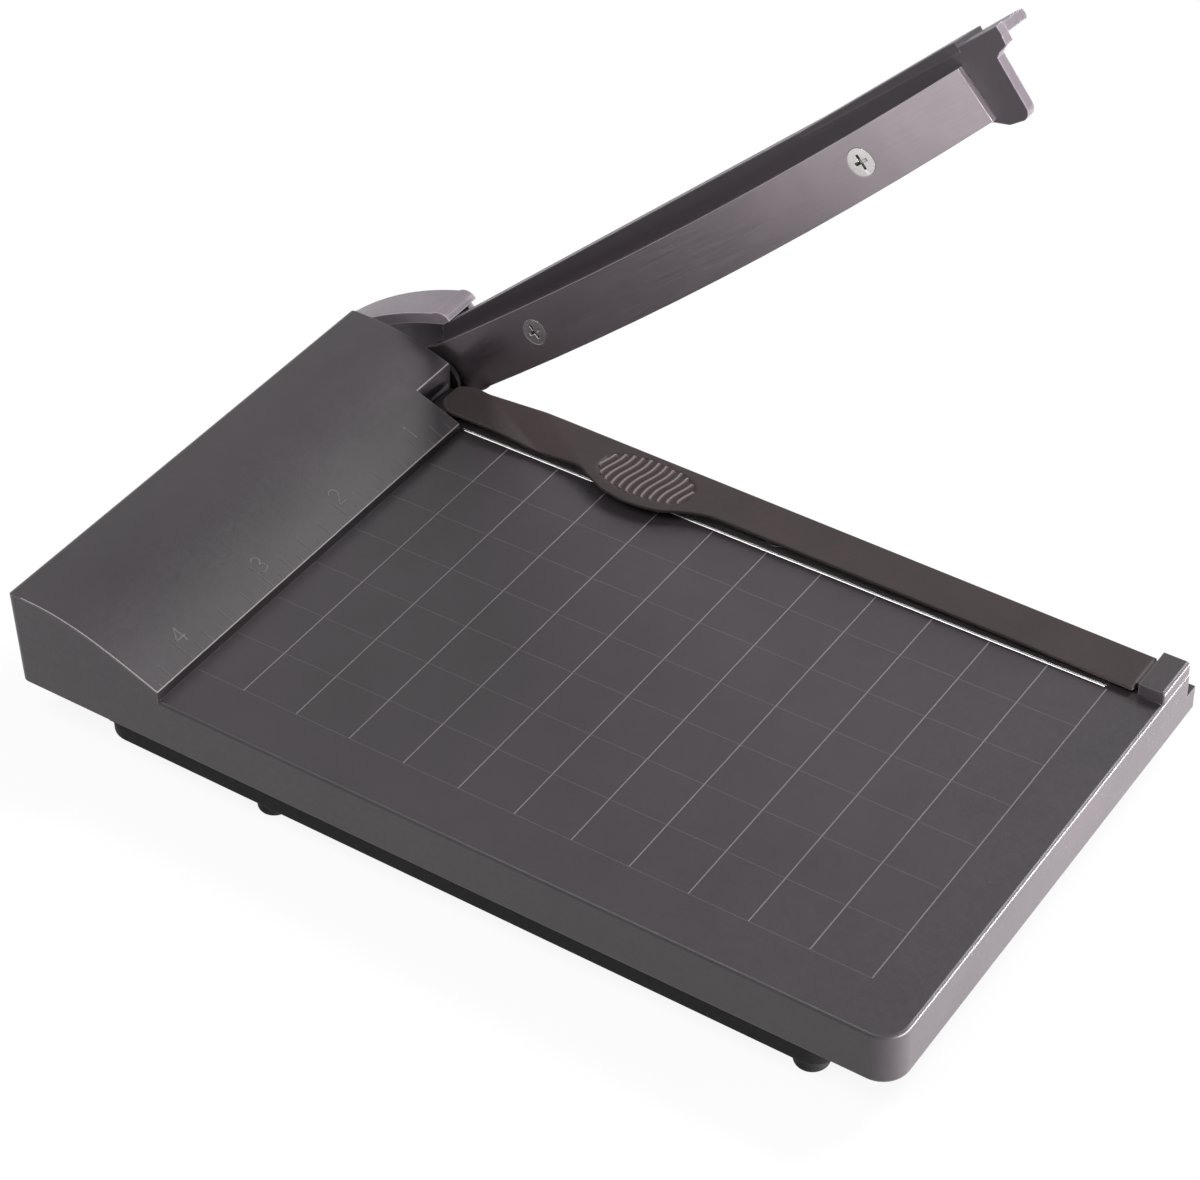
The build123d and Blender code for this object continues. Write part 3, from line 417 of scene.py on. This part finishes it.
# all by modifiers: a solid's own mesh stays as it is
def softenEdges(piece, width, settings):
    weld = piece.modifiers.new("weld", "WELD")
    weld.merge_threshold = settings["weld"] * mm
    flat = piece.modifiers.new("flat", "DECIMATE")
    flat.decimate_type = "DISSOLVE"
    flat.angle_limit = math.radians(settings["flatAngle"])
    bevel = piece.modifiers.new("edges", "BEVEL")
    bevel.width = width * mm
    bevel.segments = settings["segments"]
    bevel.limit_method = "ANGLE"
    bevel.angle_limit = math.radians(settings["edgeAngle"])
    bevel.miter_outer = "MITER_ARC"
    bevel.use_clamp_overlap = True
    flatFaces = piece.modifiers.new("flatFaces", "WEIGHTED_NORMAL")
    flatFaces.weight = settings["flatWeight"]
    flatFaces.keep_sharp = True
    piece.data.shade_smooth()


for name, width in edgeRounding.items():
    softenEdges(nodes[name], width, rounding)
print("solids finished:", len(nodes))


# points are in millimetres; the mesh is in metres
def meshPiece(name, points, faces, finishName, body, sharpAngle):
    mesh = bpy.data.meshes.new(name)
    mesh.from_pydata([Vector(p) * mm for p in points], [], faces)
    mesh.validate()
    mesh.update()
    mesh.materials.append(finishes[finishName])
    mesh.shade_smooth()
    mesh.set_sharp_from_angle(angle=math.radians(sharpAngle))
    piece = bpy.data.objects.new(name, mesh)
    bpy.context.scene.collection.objects.link(piece)
    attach(piece, body)
    return piece


# the housing's upper surface, to lay the raised marks on
housingMesh = nodes["top_housing"].data
housingTree = BVHTree.FromPolygons(
    [v.co for v in housingMesh.vertices], [tuple(p.vertices) for p in housingMesh.polygons]
)
aboveAll = 60  # millimetres, higher than the housing


def surfaceZ(x, y):
    struck = housingTree.ray_cast(Vector((x, y, aboveAll)) * mm, Vector((0, 0, -1)))[0]
    return struck.z / mm


def pathOnBlock(flat, sample):
    path = []
    for (x0, y0), (x1, y1) in zip(flat, flat[1:]):
        steps = max(1, round(math.hypot(x1 - x0, y1 - y0) / sample))
        for step in range(steps):
            x = x0 + (x1 - x0) * step / steps
            y = y0 + (y1 - y0) * step / steps
            path.append((x, y, surfaceZ(x, y)))
    path.append((*flat[-1], surfaceZ(*flat[-1])))
    return path


lineShape = {"sink": 0.04, "crown": 0.45, "endHeight": 0.6}  # sink in millimetres, the others are shares


# a raised line with sloping sides along a path of (x, y, z) points; each gives four corners
def raisedLine(points, faces, path, width, height):
    first = len(points)
    last = len(path) - 1
    sunk = Vector((0, 0, -lineShape["sink"]))
    for index, here in enumerate(path):
        ahead = Vector(path[min(index + 1, last)]) - Vector(path[max(index - 1, 0)])
        side = Vector((-ahead.y, ahead.x, 0)).normalized() * width / 2
        crown = side * lineShape["crown"]
        lift = Vector((0, 0, height)) * (lineShape["endHeight"] if index in (0, last) else 1.0)
        for offset, upward in ((-side, sunk), (-crown, lift), (crown, lift), (side, sunk)):
            points.append(Vector(here) + offset + upward)
    for index in range(last):
        here = first + index * 4
        for k in range(3):
            faces.append((here + k, here + k + 1, here + k + 5, here + k + 4))
    faces.append((first + 3, first + 2, first + 1, first))
    end = first + last * 4
    faces.append((end, end + 1, end + 2, end + 3))


# half-inch grid: raised lines along and across the table
tableGrid = {
    "step": base["inch"] / 2,
    "acrossCount": 12,
    "acrossFromX": -53.1,
    "acrossToX": 35.6,
    "alongCount": 7,
    "alongFirstX": 23.1,
    "alongToY": -93.8,
    "fenceGap": 0.3,
    "width": 0.34,
    "acrossHeight": 0.09,
    "alongHeight": 0.081,
    "sharpAngle": 20,
}


def makeTableGrid(settings):
    top = base["tableTop"]
    sharpAngle = settings["sharpAngle"]
    points = []
    faces = []
    for k in range(1, settings["acrossCount"] + 1):
        y = base["gridZeroY"] - k * settings["step"]
        path = [(settings["acrossFromX"], y, top), (settings["acrossToX"], y, top)]
        raisedLine(points, faces, path, settings["width"], settings["acrossHeight"])
    meshPiece("gridAcross", points, faces, "acrossMarks", "base", sharpAngle)
    points = []
    faces = []
    for k in range(settings["alongCount"]):
        x = settings["alongFirstX"] - k * settings["step"]
        path = [(x, base["fenceY"] - settings["fenceGap"], top), (x, settings["alongToY"], top)]
        raisedLine(points, faces, path, settings["width"], settings["alongHeight"])
    meshPiece("gridAlong", points, faces, "alongMarks", "base", sharpAngle)


makeTableGrid(tableGrid)

# inch ruler on the sloping block: ticks from the fence edge, distances from the cut
rulerTicks = {
    "inchReach": 5.9,
    "halfReach": 4.2,
    "quarterReach": 3.6,
    "eighthReach": 1.8,
    "firstEighth": 5,
    "lastEighth": 35,
    "fenceGap": 0.45,
    "width": 0.3,
    "height": 0.09,
    "sample": 0.6,
    "sharpAngle": 20,
}


def makeRulerTicks(settings):
    points = []
    faces = []
    start = base["fenceY"] + settings["fenceGap"]
    for eighth in range(settings["firstEighth"], settings["lastEighth"] + 1):
        reach = settings["eighthReach"]
        if eighth % 8 == 0:
            reach = settings["inchReach"]
        elif eighth % 4 == 0:
            reach = settings["halfReach"]
        elif eighth % 2 == 0:
            reach = settings["quarterReach"]
        x = base["cutX"] - eighth * base["inch"] / 8
        path = pathOnBlock([(x, start), (x, start + reach)], settings["sample"])
        raisedLine(points, faces, path, settings["width"], settings["height"])
    meshPiece("rulerTicks", points, faces, "rulerMarks", "base", settings["sharpAngle"])


makeRulerTicks(rulerTicks)

arcSteps = 9


# part of an ellipse, with its two radii
def arc(centre, radii, fromAngle, toAngle):
    path = []
    for k in range(arcSteps + 1):
        turn = math.radians(fromAngle + (toAngle - fromAngle) * k / arcSteps)
        path.append((centre[0] + radii[0] * math.cos(turn), centre[1] + radii[1] * math.sin(turn)))
    return path


# numerals of the inch ruler: strokes in a box one unit high, centred on its middle
numerals = {
    "size": 3.5,
    "centreY": 63.2,
    "besideTick": 1.9,
    "width": 0.4,
    "height": 0.12,
    "sample": 0.4,
    "sharpAngle": 30,
    "strokes": {
        1: [[(-0.16, 0.3), (0.0, 0.5), (0.0, -0.5)]],
        2: [arc((0, 0.22), (0.31, 0.28), 165, -35) + [(-0.31, -0.5), (0.34, -0.5)]],
        3: [arc((-0.02, 0.25), (0.28, 0.25), 150, -90) + arc((-0.02, -0.25), (0.31, 0.26), 90, -150)],
        4: [[(0.2, -0.5), (0.2, 0.5), (-0.36, -0.18), (0.38, -0.18)]],
    },
}


def makeNumerals(settings):
    points = []
    faces = []
    size = settings["size"]
    for inches, strokes in settings["strokes"].items():
        centreX = base["cutX"] - inches * base["inch"] + settings["besideTick"]
        for stroke in strokes:
            flat = [(centreX + u * size, settings["centreY"] + v * size) for u, v in stroke]
            path = pathOnBlock(flat, settings["sample"])
            raisedLine(points, faces, path, settings["width"], settings["height"])
    meshPiece("rulerNumerals", points, faces, "numeralMarks", "base", settings["sharpAngle"])


makeNumerals(numerals)

# narrow light beads along the block's edges: a painted highlight where the edges catch the light
highlightBeads = {
    "inset": 0.3,
    "width": 0.34,
    "height": 0.05,
    "notchX": 35.15,
    "notchY": 68.4,
    "backX": 48.3,
    "crestY": 91.0,
    "sample": 0.8,
    "sharpAngle": 30,
}


def makeHighlightBeads(settings):
    points = []
    faces = []
    inset = settings["inset"]
    nearX = base["nearX"] + inset
    fence = base["fenceY"] + inset
    notchY = settings["notchY"] + inset
    edges = (
        [(nearX, fence), (settings["notchX"] - inset, fence)],
        [(nearX, fence), (nearX, settings["crestY"])],
        [(settings["notchX"], notchY), (settings["backX"] - inset, notchY)],
    )
    for edge in edges:
        path = pathOnBlock(edge, settings["sample"])
        raisedLine(points, faces, path, settings["width"], settings["height"])
    meshPiece("highlightBeads", points, faces, "edgeHighlightPlastic", "base", settings["sharpAngle"])


makeHighlightBeads(highlightBeads)
print("grid, ruler and rubbed edges made")

# a raised bead of near-white steel along the fixed blade's front edge, a little proud of the table: a
# painted glint where the edge catches the light
stripEdge = {"x": 36.2, "fromY": 57.4, "toY": -93.2, "width": 0.5, "height": 0.1, "sharpAngle": 20}


def makeStripEdge(settings):
    points = []
    faces = []
    path = [(settings["x"], settings[end], base["tableTop"]) for end in ("fromY", "toY")]
    raisedLine(points, faces, path, settings["width"], settings["height"])
    meshPiece("fixedBladeEdge", points, faces, "glintSteel", "base", settings["sharpAngle"])


makeStripEdge(stripEdge)

# clamp bar: thin long bar, a wide thumb tab with a ridged oval, a broken top at the sprung end
clampBar = {
    "backX": clampBox[1][0],
    "handleY": -98.6,
    "hingeY": clampBox[1][1],
    "cornerR": 4.4,
    "cornerTurn": 6,  # degrees between sections round the corners
    "frontEdge": [  # y along the bar, x of its front edge
        (-98.6, 36.7), (-70.4, 36.9), (-10.4, 36.9), (-4.5, 36.8), (-1.5, 36.3), (2.5, 34.6), (6.0, 32.6),
        (10.0, 31.7), (14.6, 31.3), (20.2, 32.2), (24.4, 34.1), (27.2, 35.8), (28.8, 36.2), (64.9, 36.2),
    ],
    "frontEase": 0.9,
    "easeSamples": 4,
    "gapHandle": 0.35,
    "gapHinge": 1.6,
    "topHandle": 1.7,
    "topBend": 3.4,
    "bendY": 38.8,
    "edgeR": 0.3,
    "rim": (0, 0.05, 0.16, 0.34, 0.6, 0.95),  # places across the rounded edge
    "endSteps": (0, 0.06, 0.2, 0.4, 0.7),  # and along it at the handle end
    "lip": 0.65,
    "bodyX": 38.0,
    "bodyInset": 0.9,
    "bodyBackInset": 0.4,
    "ridgeLine": ((36.8, 28.3), (46.5, 43.0)),
    "valleyLine": ((37.6, 40.9), (45.7, 56.0)),
    "valleyDepth": 1.15,
    "valleyReach": 11,
    "fineStep": 0.4,
    "middleStep": 1.0,
    "coarseStep": 2.0,
    "columns": 46,
    "narrowWidth": 2.375,  # below this a section has no room for its rims
    "sharpAngle": 40,
}
# the thumb oval sunk into the bar's tab, and the S-shaped ridges in it
clampGrip = {
    "centre": (39.7, 13.8),
    "half": (5.9, 11.3),
    "power": 2.4,
    "depth": 0.4,
    "rimShare": 0.04,
    "margin": 1,
    "count": 12,
    "pitch": 1.86,
    "wave": 0.42,
    "width": 0.85,
    "height": 0.62,
    "reach": 0.97,
    "steps": 20,  # from the oval's middle to its side
    "fewestPoints": 4,
    "sharpAngle": 20,
}


def smoothStep(value):
    value = max(0.0, min(1.0, value))
    return value * value * (3 - 2 * value)


# reads a table of (place, value) pairs, straight between them
def readOff(table, place):
    for (a, low), (b, high) in zip(table, table[1:]):
        if place <= b:
            share = max(0.0, min(1.0, (place - a) / (b - a)))
            return low + (high - low) * share
    return table[-1][1]


# how far a rounded corner or edge has drawn back, a given way into its radius
def roundOff(radius, into):
    into = max(0.0, min(radius, into))
    return radius - math.sqrt(max(0.0, radius ** 2 - into ** 2))


# the clamp's front edge, eased between its named points
def clampFront(settings, y):
    count = settings["easeSamples"]
    places = [y + settings["frontEase"] * k / count for k in range(-count, count + 1)]
    front = sum(readOff(settings["frontEdge"], place) for place in places) / len(places)
    cornerR = settings["cornerR"]
    return front + roundOff(cornerR, y - settings["hingeY"] + cornerR)


def clampBack(settings, y):
    cornerR = settings["cornerR"]
    return settings["backX"] - roundOff(cornerR, y - settings["hingeY"] + cornerR)


# how far a point lies beyond a line, measured along y
def beyondLine(line, x, y):
    (x0, y0), (x1, y1) = line
    return y - (y0 + (y1 - y0) * (x - x0) / (x1 - x0))


# 0 in the middle of the thumb oval and 1 on its outline; u and v run from -1 to 1
def ovalAt(u, v):
    power = clampGrip["power"]
    return (abs(u) ** power + abs(v) ** power) ** (1 / power)


# height of the clamp's top above the table
def clampTop(settings, x, y):
    share = min(1.0, (y - settings["handleY"]) / (settings["bendY"] - settings["handleY"]))
    height = settings["topHandle"] + (settings["topBend"] - settings["topHandle"]) * share
    fromRidge = beyondLine(settings["ridgeLine"], x, y)
    fromValley = beyondLine(settings["valleyLine"], x, y)
    if fromRidge > 0 and fromValley < 0:
        height -= settings["valleyDepth"] * fromRidge / (fromRidge - fromValley)
    elif fromValley >= 0:
        height -= settings["valleyDepth"] * max(0.0, 1 - fromValley / settings["valleyReach"])
    u = (x - clampGrip["centre"][0]) / clampGrip["half"][0]
    v = (y - clampGrip["centre"][1]) / clampGrip["half"][1]
    return height - clampGrip["depth"] * smoothStep((1 - ovalAt(u, v)) / clampGrip["rimShare"])


# places along the bar where it gets a section: close together at the thumb oval and round the corners
def clampStations(settings):
    middle = clampGrip["centre"][1]
    reach = clampGrip["half"][1] + clampGrip["margin"]
    ys = [settings["handleY"] + step for step in settings["endSteps"]]
    while ys[-1] < middle - reach:
        ys.append(ys[-1] + settings["coarseStep"])
    while ys[-1] < middle + reach:
        ys.append(ys[-1] + settings["fineStep"])
    corner = settings["hingeY"] - settings["cornerR"]
    while ys[-1] < corner - settings["middleStep"]:
        ys.append(ys[-1] + settings["middleStep"])
    for turn in range(settings["cornerTurn"], 90, settings["cornerTurn"]):
        ys.append(corner + settings["cornerR"] * math.sin(math.radians(turn)))
    return ys + [settings["hingeY"]]


# places across a section, measured from the front edge
def clampSpots(settings, width):
    rim = settings["rim"]
    count = settings["columns"]
    inner = [rim[-1] + (width - 2 * rim[-1]) * k / (count - 1) for k in range(1, count - 1)]
    spots = list(rim) + inner + [width - spot for spot in reversed(rim)]
    if width < settings["narrowWidth"]:
        spots = [width * k / (len(spots) - 1) for k in range(len(spots))]
    return spots


# one section: over the top from front to back, then underneath to the thin lip
def clampSection(settings, y):
    front = clampFront(settings, y)
    back = clampBack(settings, y)
    width = back - front
    radius = settings["edgeR"]
    section = []
    for spot in clampSpots(settings, width):
        x = front + spot
        fromEdge = min(spot, width - spot, y - settings["handleY"], settings["hingeY"] - y)
        drop = roundOff(radius, radius - fromEdge)
        section.append((x, y, base["tableTop"] + clampTop(settings, x, y) - drop))
    share = (y - settings["handleY"]) / (settings["hingeY"] - settings["handleY"])
    gap = settings["gapHandle"] + (settings["gapHinge"] - settings["gapHandle"]) * share
    bottom = base["tableTop"] + gap
    bodyX = min(max(settings["bodyX"], front + settings["bodyInset"]), back - settings["bodyBackInset"])
    underLip = section[0][2] + radius - settings["lip"]
    return section + [(back, y, bottom), (bodyX, y, bottom), (bodyX, y, underLip), (front, y, underLip)]


# the knuckle round the hinge pin: a prism along x with a hole, joined to the bar by its neck
clampKnuckle = {
    "pin": [round((low + high) / 2, 2) for low, high in zip(*pinBox)][1:],
    "holeR": 0.85,
    "outerR": 1.9,
    "x": (38.7, 46.1),
    "neckInset": 0.5,
    "neckTopDrop": 0.1,
    "neckLowRise": 0.05,
    "turns": 36,
}


def addKnuckle(points, faces, settings, bar):
    pinY, pinZ = settings["pin"]
    neckTop = base["tableTop"] + bar["topHandle"] - settings["neckTopDrop"]
    neckLow = base["tableTop"] + bar["gapHandle"] + settings["neckLowRise"]
    turns = settings["turns"]
    outer = []
    inner = []
    for k in range(turns):
        across = math.cos(math.tau * k / turns)
        upward = math.sin(math.tau * k / turns)
        y = pinY + settings["outerR"] * across
        z = pinZ + settings["outerR"] * upward
        if across > 0 and z > neckLow:
            y = bar["handleY"] + settings["neckInset"]
            z = min(z, neckTop)
        outer.append((y, z))
        inner.append((pinY + settings["holeR"] * across, pinZ + settings["holeR"] * upward))
    low = len(points)
    high = low + 2 * turns
    for x in settings["x"]:
        points += [(x, y, z) for y, z in outer + inner]
    for k in range(turns):
        after = (k + 1) % turns
        faces.append((low + k, high + k, high + after, low + after))
        faces.append((low + turns + after, high + turns + after, high + turns + k, low + turns + k))
        faces.append((low + after, low + turns + after, low + turns + k, low + k))
        faces.append((high + k, high + turns + k, high + turns + after, high + after))


# the guide post that carries the spring under the sprung end
clampPost = {
    "place": [round((low + high) / 2, 1) for low, high in zip(*springBox)][:2],
    "r": 1.3,
    "endR": 1.0,
    "endZ": clampBox[0][2],
    "endTaper": 0.3,
    "intoBar": 0.4,
    "turns": 24,
}


def addPost(points, faces, settings, bar):
    x0, y0 = settings["place"]
    turns = settings["turns"]
    levels = (
        (settings["r"], base["tableTop"] + bar["gapHinge"] + settings["intoBar"]),
        (settings["r"], settings["endZ"] + settings["endTaper"]),
        (settings["endR"], settings["endZ"]),
    )
    first = len(points)
    for radius, z in levels:
        for k in range(turns):
            angle = math.tau * k / turns
            points.append((x0 + radius * math.cos(angle), y0 + radius * math.sin(angle), z))
    for level in range(len(levels) - 1):
        for k in range(turns):
            after = (k + 1) % turns
            upper = first + level * turns
            lower = upper + turns
            faces.append((upper + k, lower + k, lower + after, upper + after))
    faces.append(tuple(range(first, first + turns)))
    faces.append(tuple(reversed(range(len(points) - turns, len(points)))))


def makeClampBar(settings):
    points = []
    faces = []
    for y in clampStations(settings):
        points += clampSection(settings, y)
    ring = len(clampSection(settings, settings["handleY"]))
    for before in range(0, len(points) - ring, ring):
        for k in range(ring):
            after = (k + 1) % ring
            faces.append((before + k, before + after, before + ring + after, before + ring + k))
    faces.append(tuple(reversed(range(ring))))
    faces.append(tuple(range(len(points) - ring, len(points))))
    addKnuckle(points, faces, clampKnuckle, settings)
    addPost(points, faces, clampPost, settings)
    sharpAngle = settings["sharpAngle"]
    piece = meshPiece("clampBarDress", points, faces, "clampPlastic", "clamp", sharpAngle)
    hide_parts("clamp_bar")


makeClampBar(clampBar)


def makeGripRidges(settings, bar):
    points = []
    faces = []
    (centreX, centreY), (halfX, halfY) = settings["centre"], settings["half"]
    for ridge in range(settings["count"]):
        middle = centreY + (ridge - settings["count"] / 2 + 0.5) * settings["pitch"]
        path = []
        for step in range(2 * settings["steps"] + 1):
            u = -1 + step / settings["steps"]
            y = middle - settings["wave"] * (math.sin(u * math.pi) + u)
            if ovalAt(u, (y - centreY) / halfY) < settings["reach"]:
                x = centreX + u * halfX
                path.append((x, y, base["tableTop"] + clampTop(bar, x, y)))
        if len(path) >= settings["fewestPoints"]:
            raisedLine(points, faces, path, settings["width"], settings["height"])
    meshPiece("gripRidges", points, faces, "ridgeHighlightPlastic", "clamp", settings["sharpAngle"])


makeGripRidges(clampGrip, clampBar)
print("clamp bar made")

# its place in millimetres, and its axes as unit vectors in the cutter's frame
camera = {
    "place": (-402.70, -282.64, 448.43),
    "right": (0.55585, -0.83095, -0.02346),
    "up": (0.54955, 0.34615, 0.76037),
    "back": (-0.62371, -0.43555, 0.64906),
    "lens": 99.45,
    "sensor": 36,
    "nearest": 0.01,
    "farthest": 20,
}


def makeCamera(settings):
    data = bpy.data.cameras.new("camera")
    data.lens = settings["lens"]
    data.sensor_width = settings["sensor"]
    data.clip_start = settings["nearest"]
    data.clip_end = settings["farthest"]
    eye = bpy.data.objects.new("camera", data)
    bpy.context.scene.collection.objects.link(eye)
    turn = Matrix((settings["right"], settings["up"], settings["back"])).transposed().to_4x4()
    eye.matrix_world = Matrix.Translation(Vector(settings["place"]) * mm) @ turn
    bpy.context.scene.camera = eye


makeCamera(camera)

# a white floor that keeps a faint shadow, and a plain white surround
stage = {
    "floorSize": 6.0,
    "floorColour": (0.93, 0.93, 0.93, 1),
    "floorGlow": 1.02,
    "shadowShare": 0.12,
    "white": (1, 1, 1, 1),
    "worldColour": (0.97, 0.98, 1, 1),
    "worldStrength": 0.22,
}


# 1 for camera, glossy and transmission rays
def lightPathGate(tree):
    path = node(tree, "ShaderNodeLightPath")
    gate = path.outputs["Is Camera Ray"]
    for kind in ("Is Glossy Ray", "Is Transmission Ray"):
        most = node(tree, "ShaderNodeMath", operation="MAXIMUM")
        tree.links.new(gate, most.inputs[0])
        tree.links.new(path.outputs[kind], most.inputs[1])
        gate = most.outputs[0]
    return gate


def makeFloor(settings):
    half = settings["floorSize"] / 2
    mesh = bpy.data.meshes.new("floor")
    corners = [(-half, -half, 0), (half, -half, 0), (half, half, 0), (-half, half, 0)]
    mesh.from_pydata(corners, [], [(0, 1, 2, 3)])
    floor = bpy.data.objects.new("floor", mesh)
    bpy.context.scene.collection.objects.link(floor)
    finish, tree = newFinish("floor")
    lit = node(tree, "ShaderNodeBsdfDiffuse", Color=settings["floorColour"])
    seen = node(tree, "ShaderNodeEmission", Color=settings["white"], Strength=settings["floorGlow"])
    gate = node(tree, "ShaderNodeMath", operation="MULTIPLY")
    tree.links.new(lightPathGate(tree), gate.inputs[0])
    gate.inputs[1].default_value = 1 - settings["shadowShare"]
    finished(tree, mixShader(tree, gate.outputs[0], lit, seen))
    mesh.materials.append(finish)


def makeWorld(settings):
    world = bpy.data.worlds.new("studio")
    bpy.context.scene.world = world
    world.use_nodes = True
    tree = world.node_tree
    tree.nodes.clear()
    seen = node(tree, "ShaderNodeBackground", Color=settings["white"], Strength=1.0)
    strength = settings["worldStrength"]
    lit = node(tree, "ShaderNodeBackground", Color=settings["worldColour"], Strength=strength)
    mix = mixShader(tree, lightPathGate(tree), lit, seen)
    output = node(tree, "ShaderNodeOutputWorld")
    tree.links.new(mix.outputs[0], output.inputs[0])


makeFloor(stage)
makeWorld(stage)

# places and sizes in metres
lamps = {
    "end": {
        "place": (0.04, -0.3, 0.005),
        "aim": (0.0, -0.1, 0.012),
        "size": (0.36, 0.008),
        "watts": 3.6,
        "spread": 180,
    },
    "tip": {
        "place": (0.05, -0.45, 0.18),
        "aim": (0.055, -0.06, 0.165),
        "size": (0.06, 0.06),
        "watts": 0.2,
        "spread": 24,
    },
    "sheen": {
        "place": (0.69, -0.35, 0.79),
        "aim": (0.0, 0.06, 0.03),
        "size": (0.35, 0.35),
        "watts": 9.5,
        "spread": 180,
    },
    "fill": {
        "place": (-0.6, 0.3, 1.2),
        "aim": (0.0, 0.0, 0.0),
        "size": (0.8, 0.8),
        "watts": 9.0,
        "spread": 180,
    },
}


def makeLamps(settings):
    for name, lamp in settings.items():
        data = bpy.data.lights.new(name, "AREA")
        data.shape = "RECTANGLE"
        data.size, data.size_y = lamp["size"]
        data.energy = lamp["watts"]
        data.spread = math.radians(lamp["spread"])
        made = bpy.data.objects.new(name, data)
        bpy.context.scene.collection.objects.link(made)
        made.location = lamp["place"]
        made.visible_camera = False
        towards = Vector(lamp["aim"]) - Vector(lamp["place"])
        made.rotation_euler = towards.to_track_quat("-Z", "Y").to_euler()


makeLamps(lamps)
bpy.context.scene.view_settings.view_transform = "Standard"
print("camera, stage and light made")
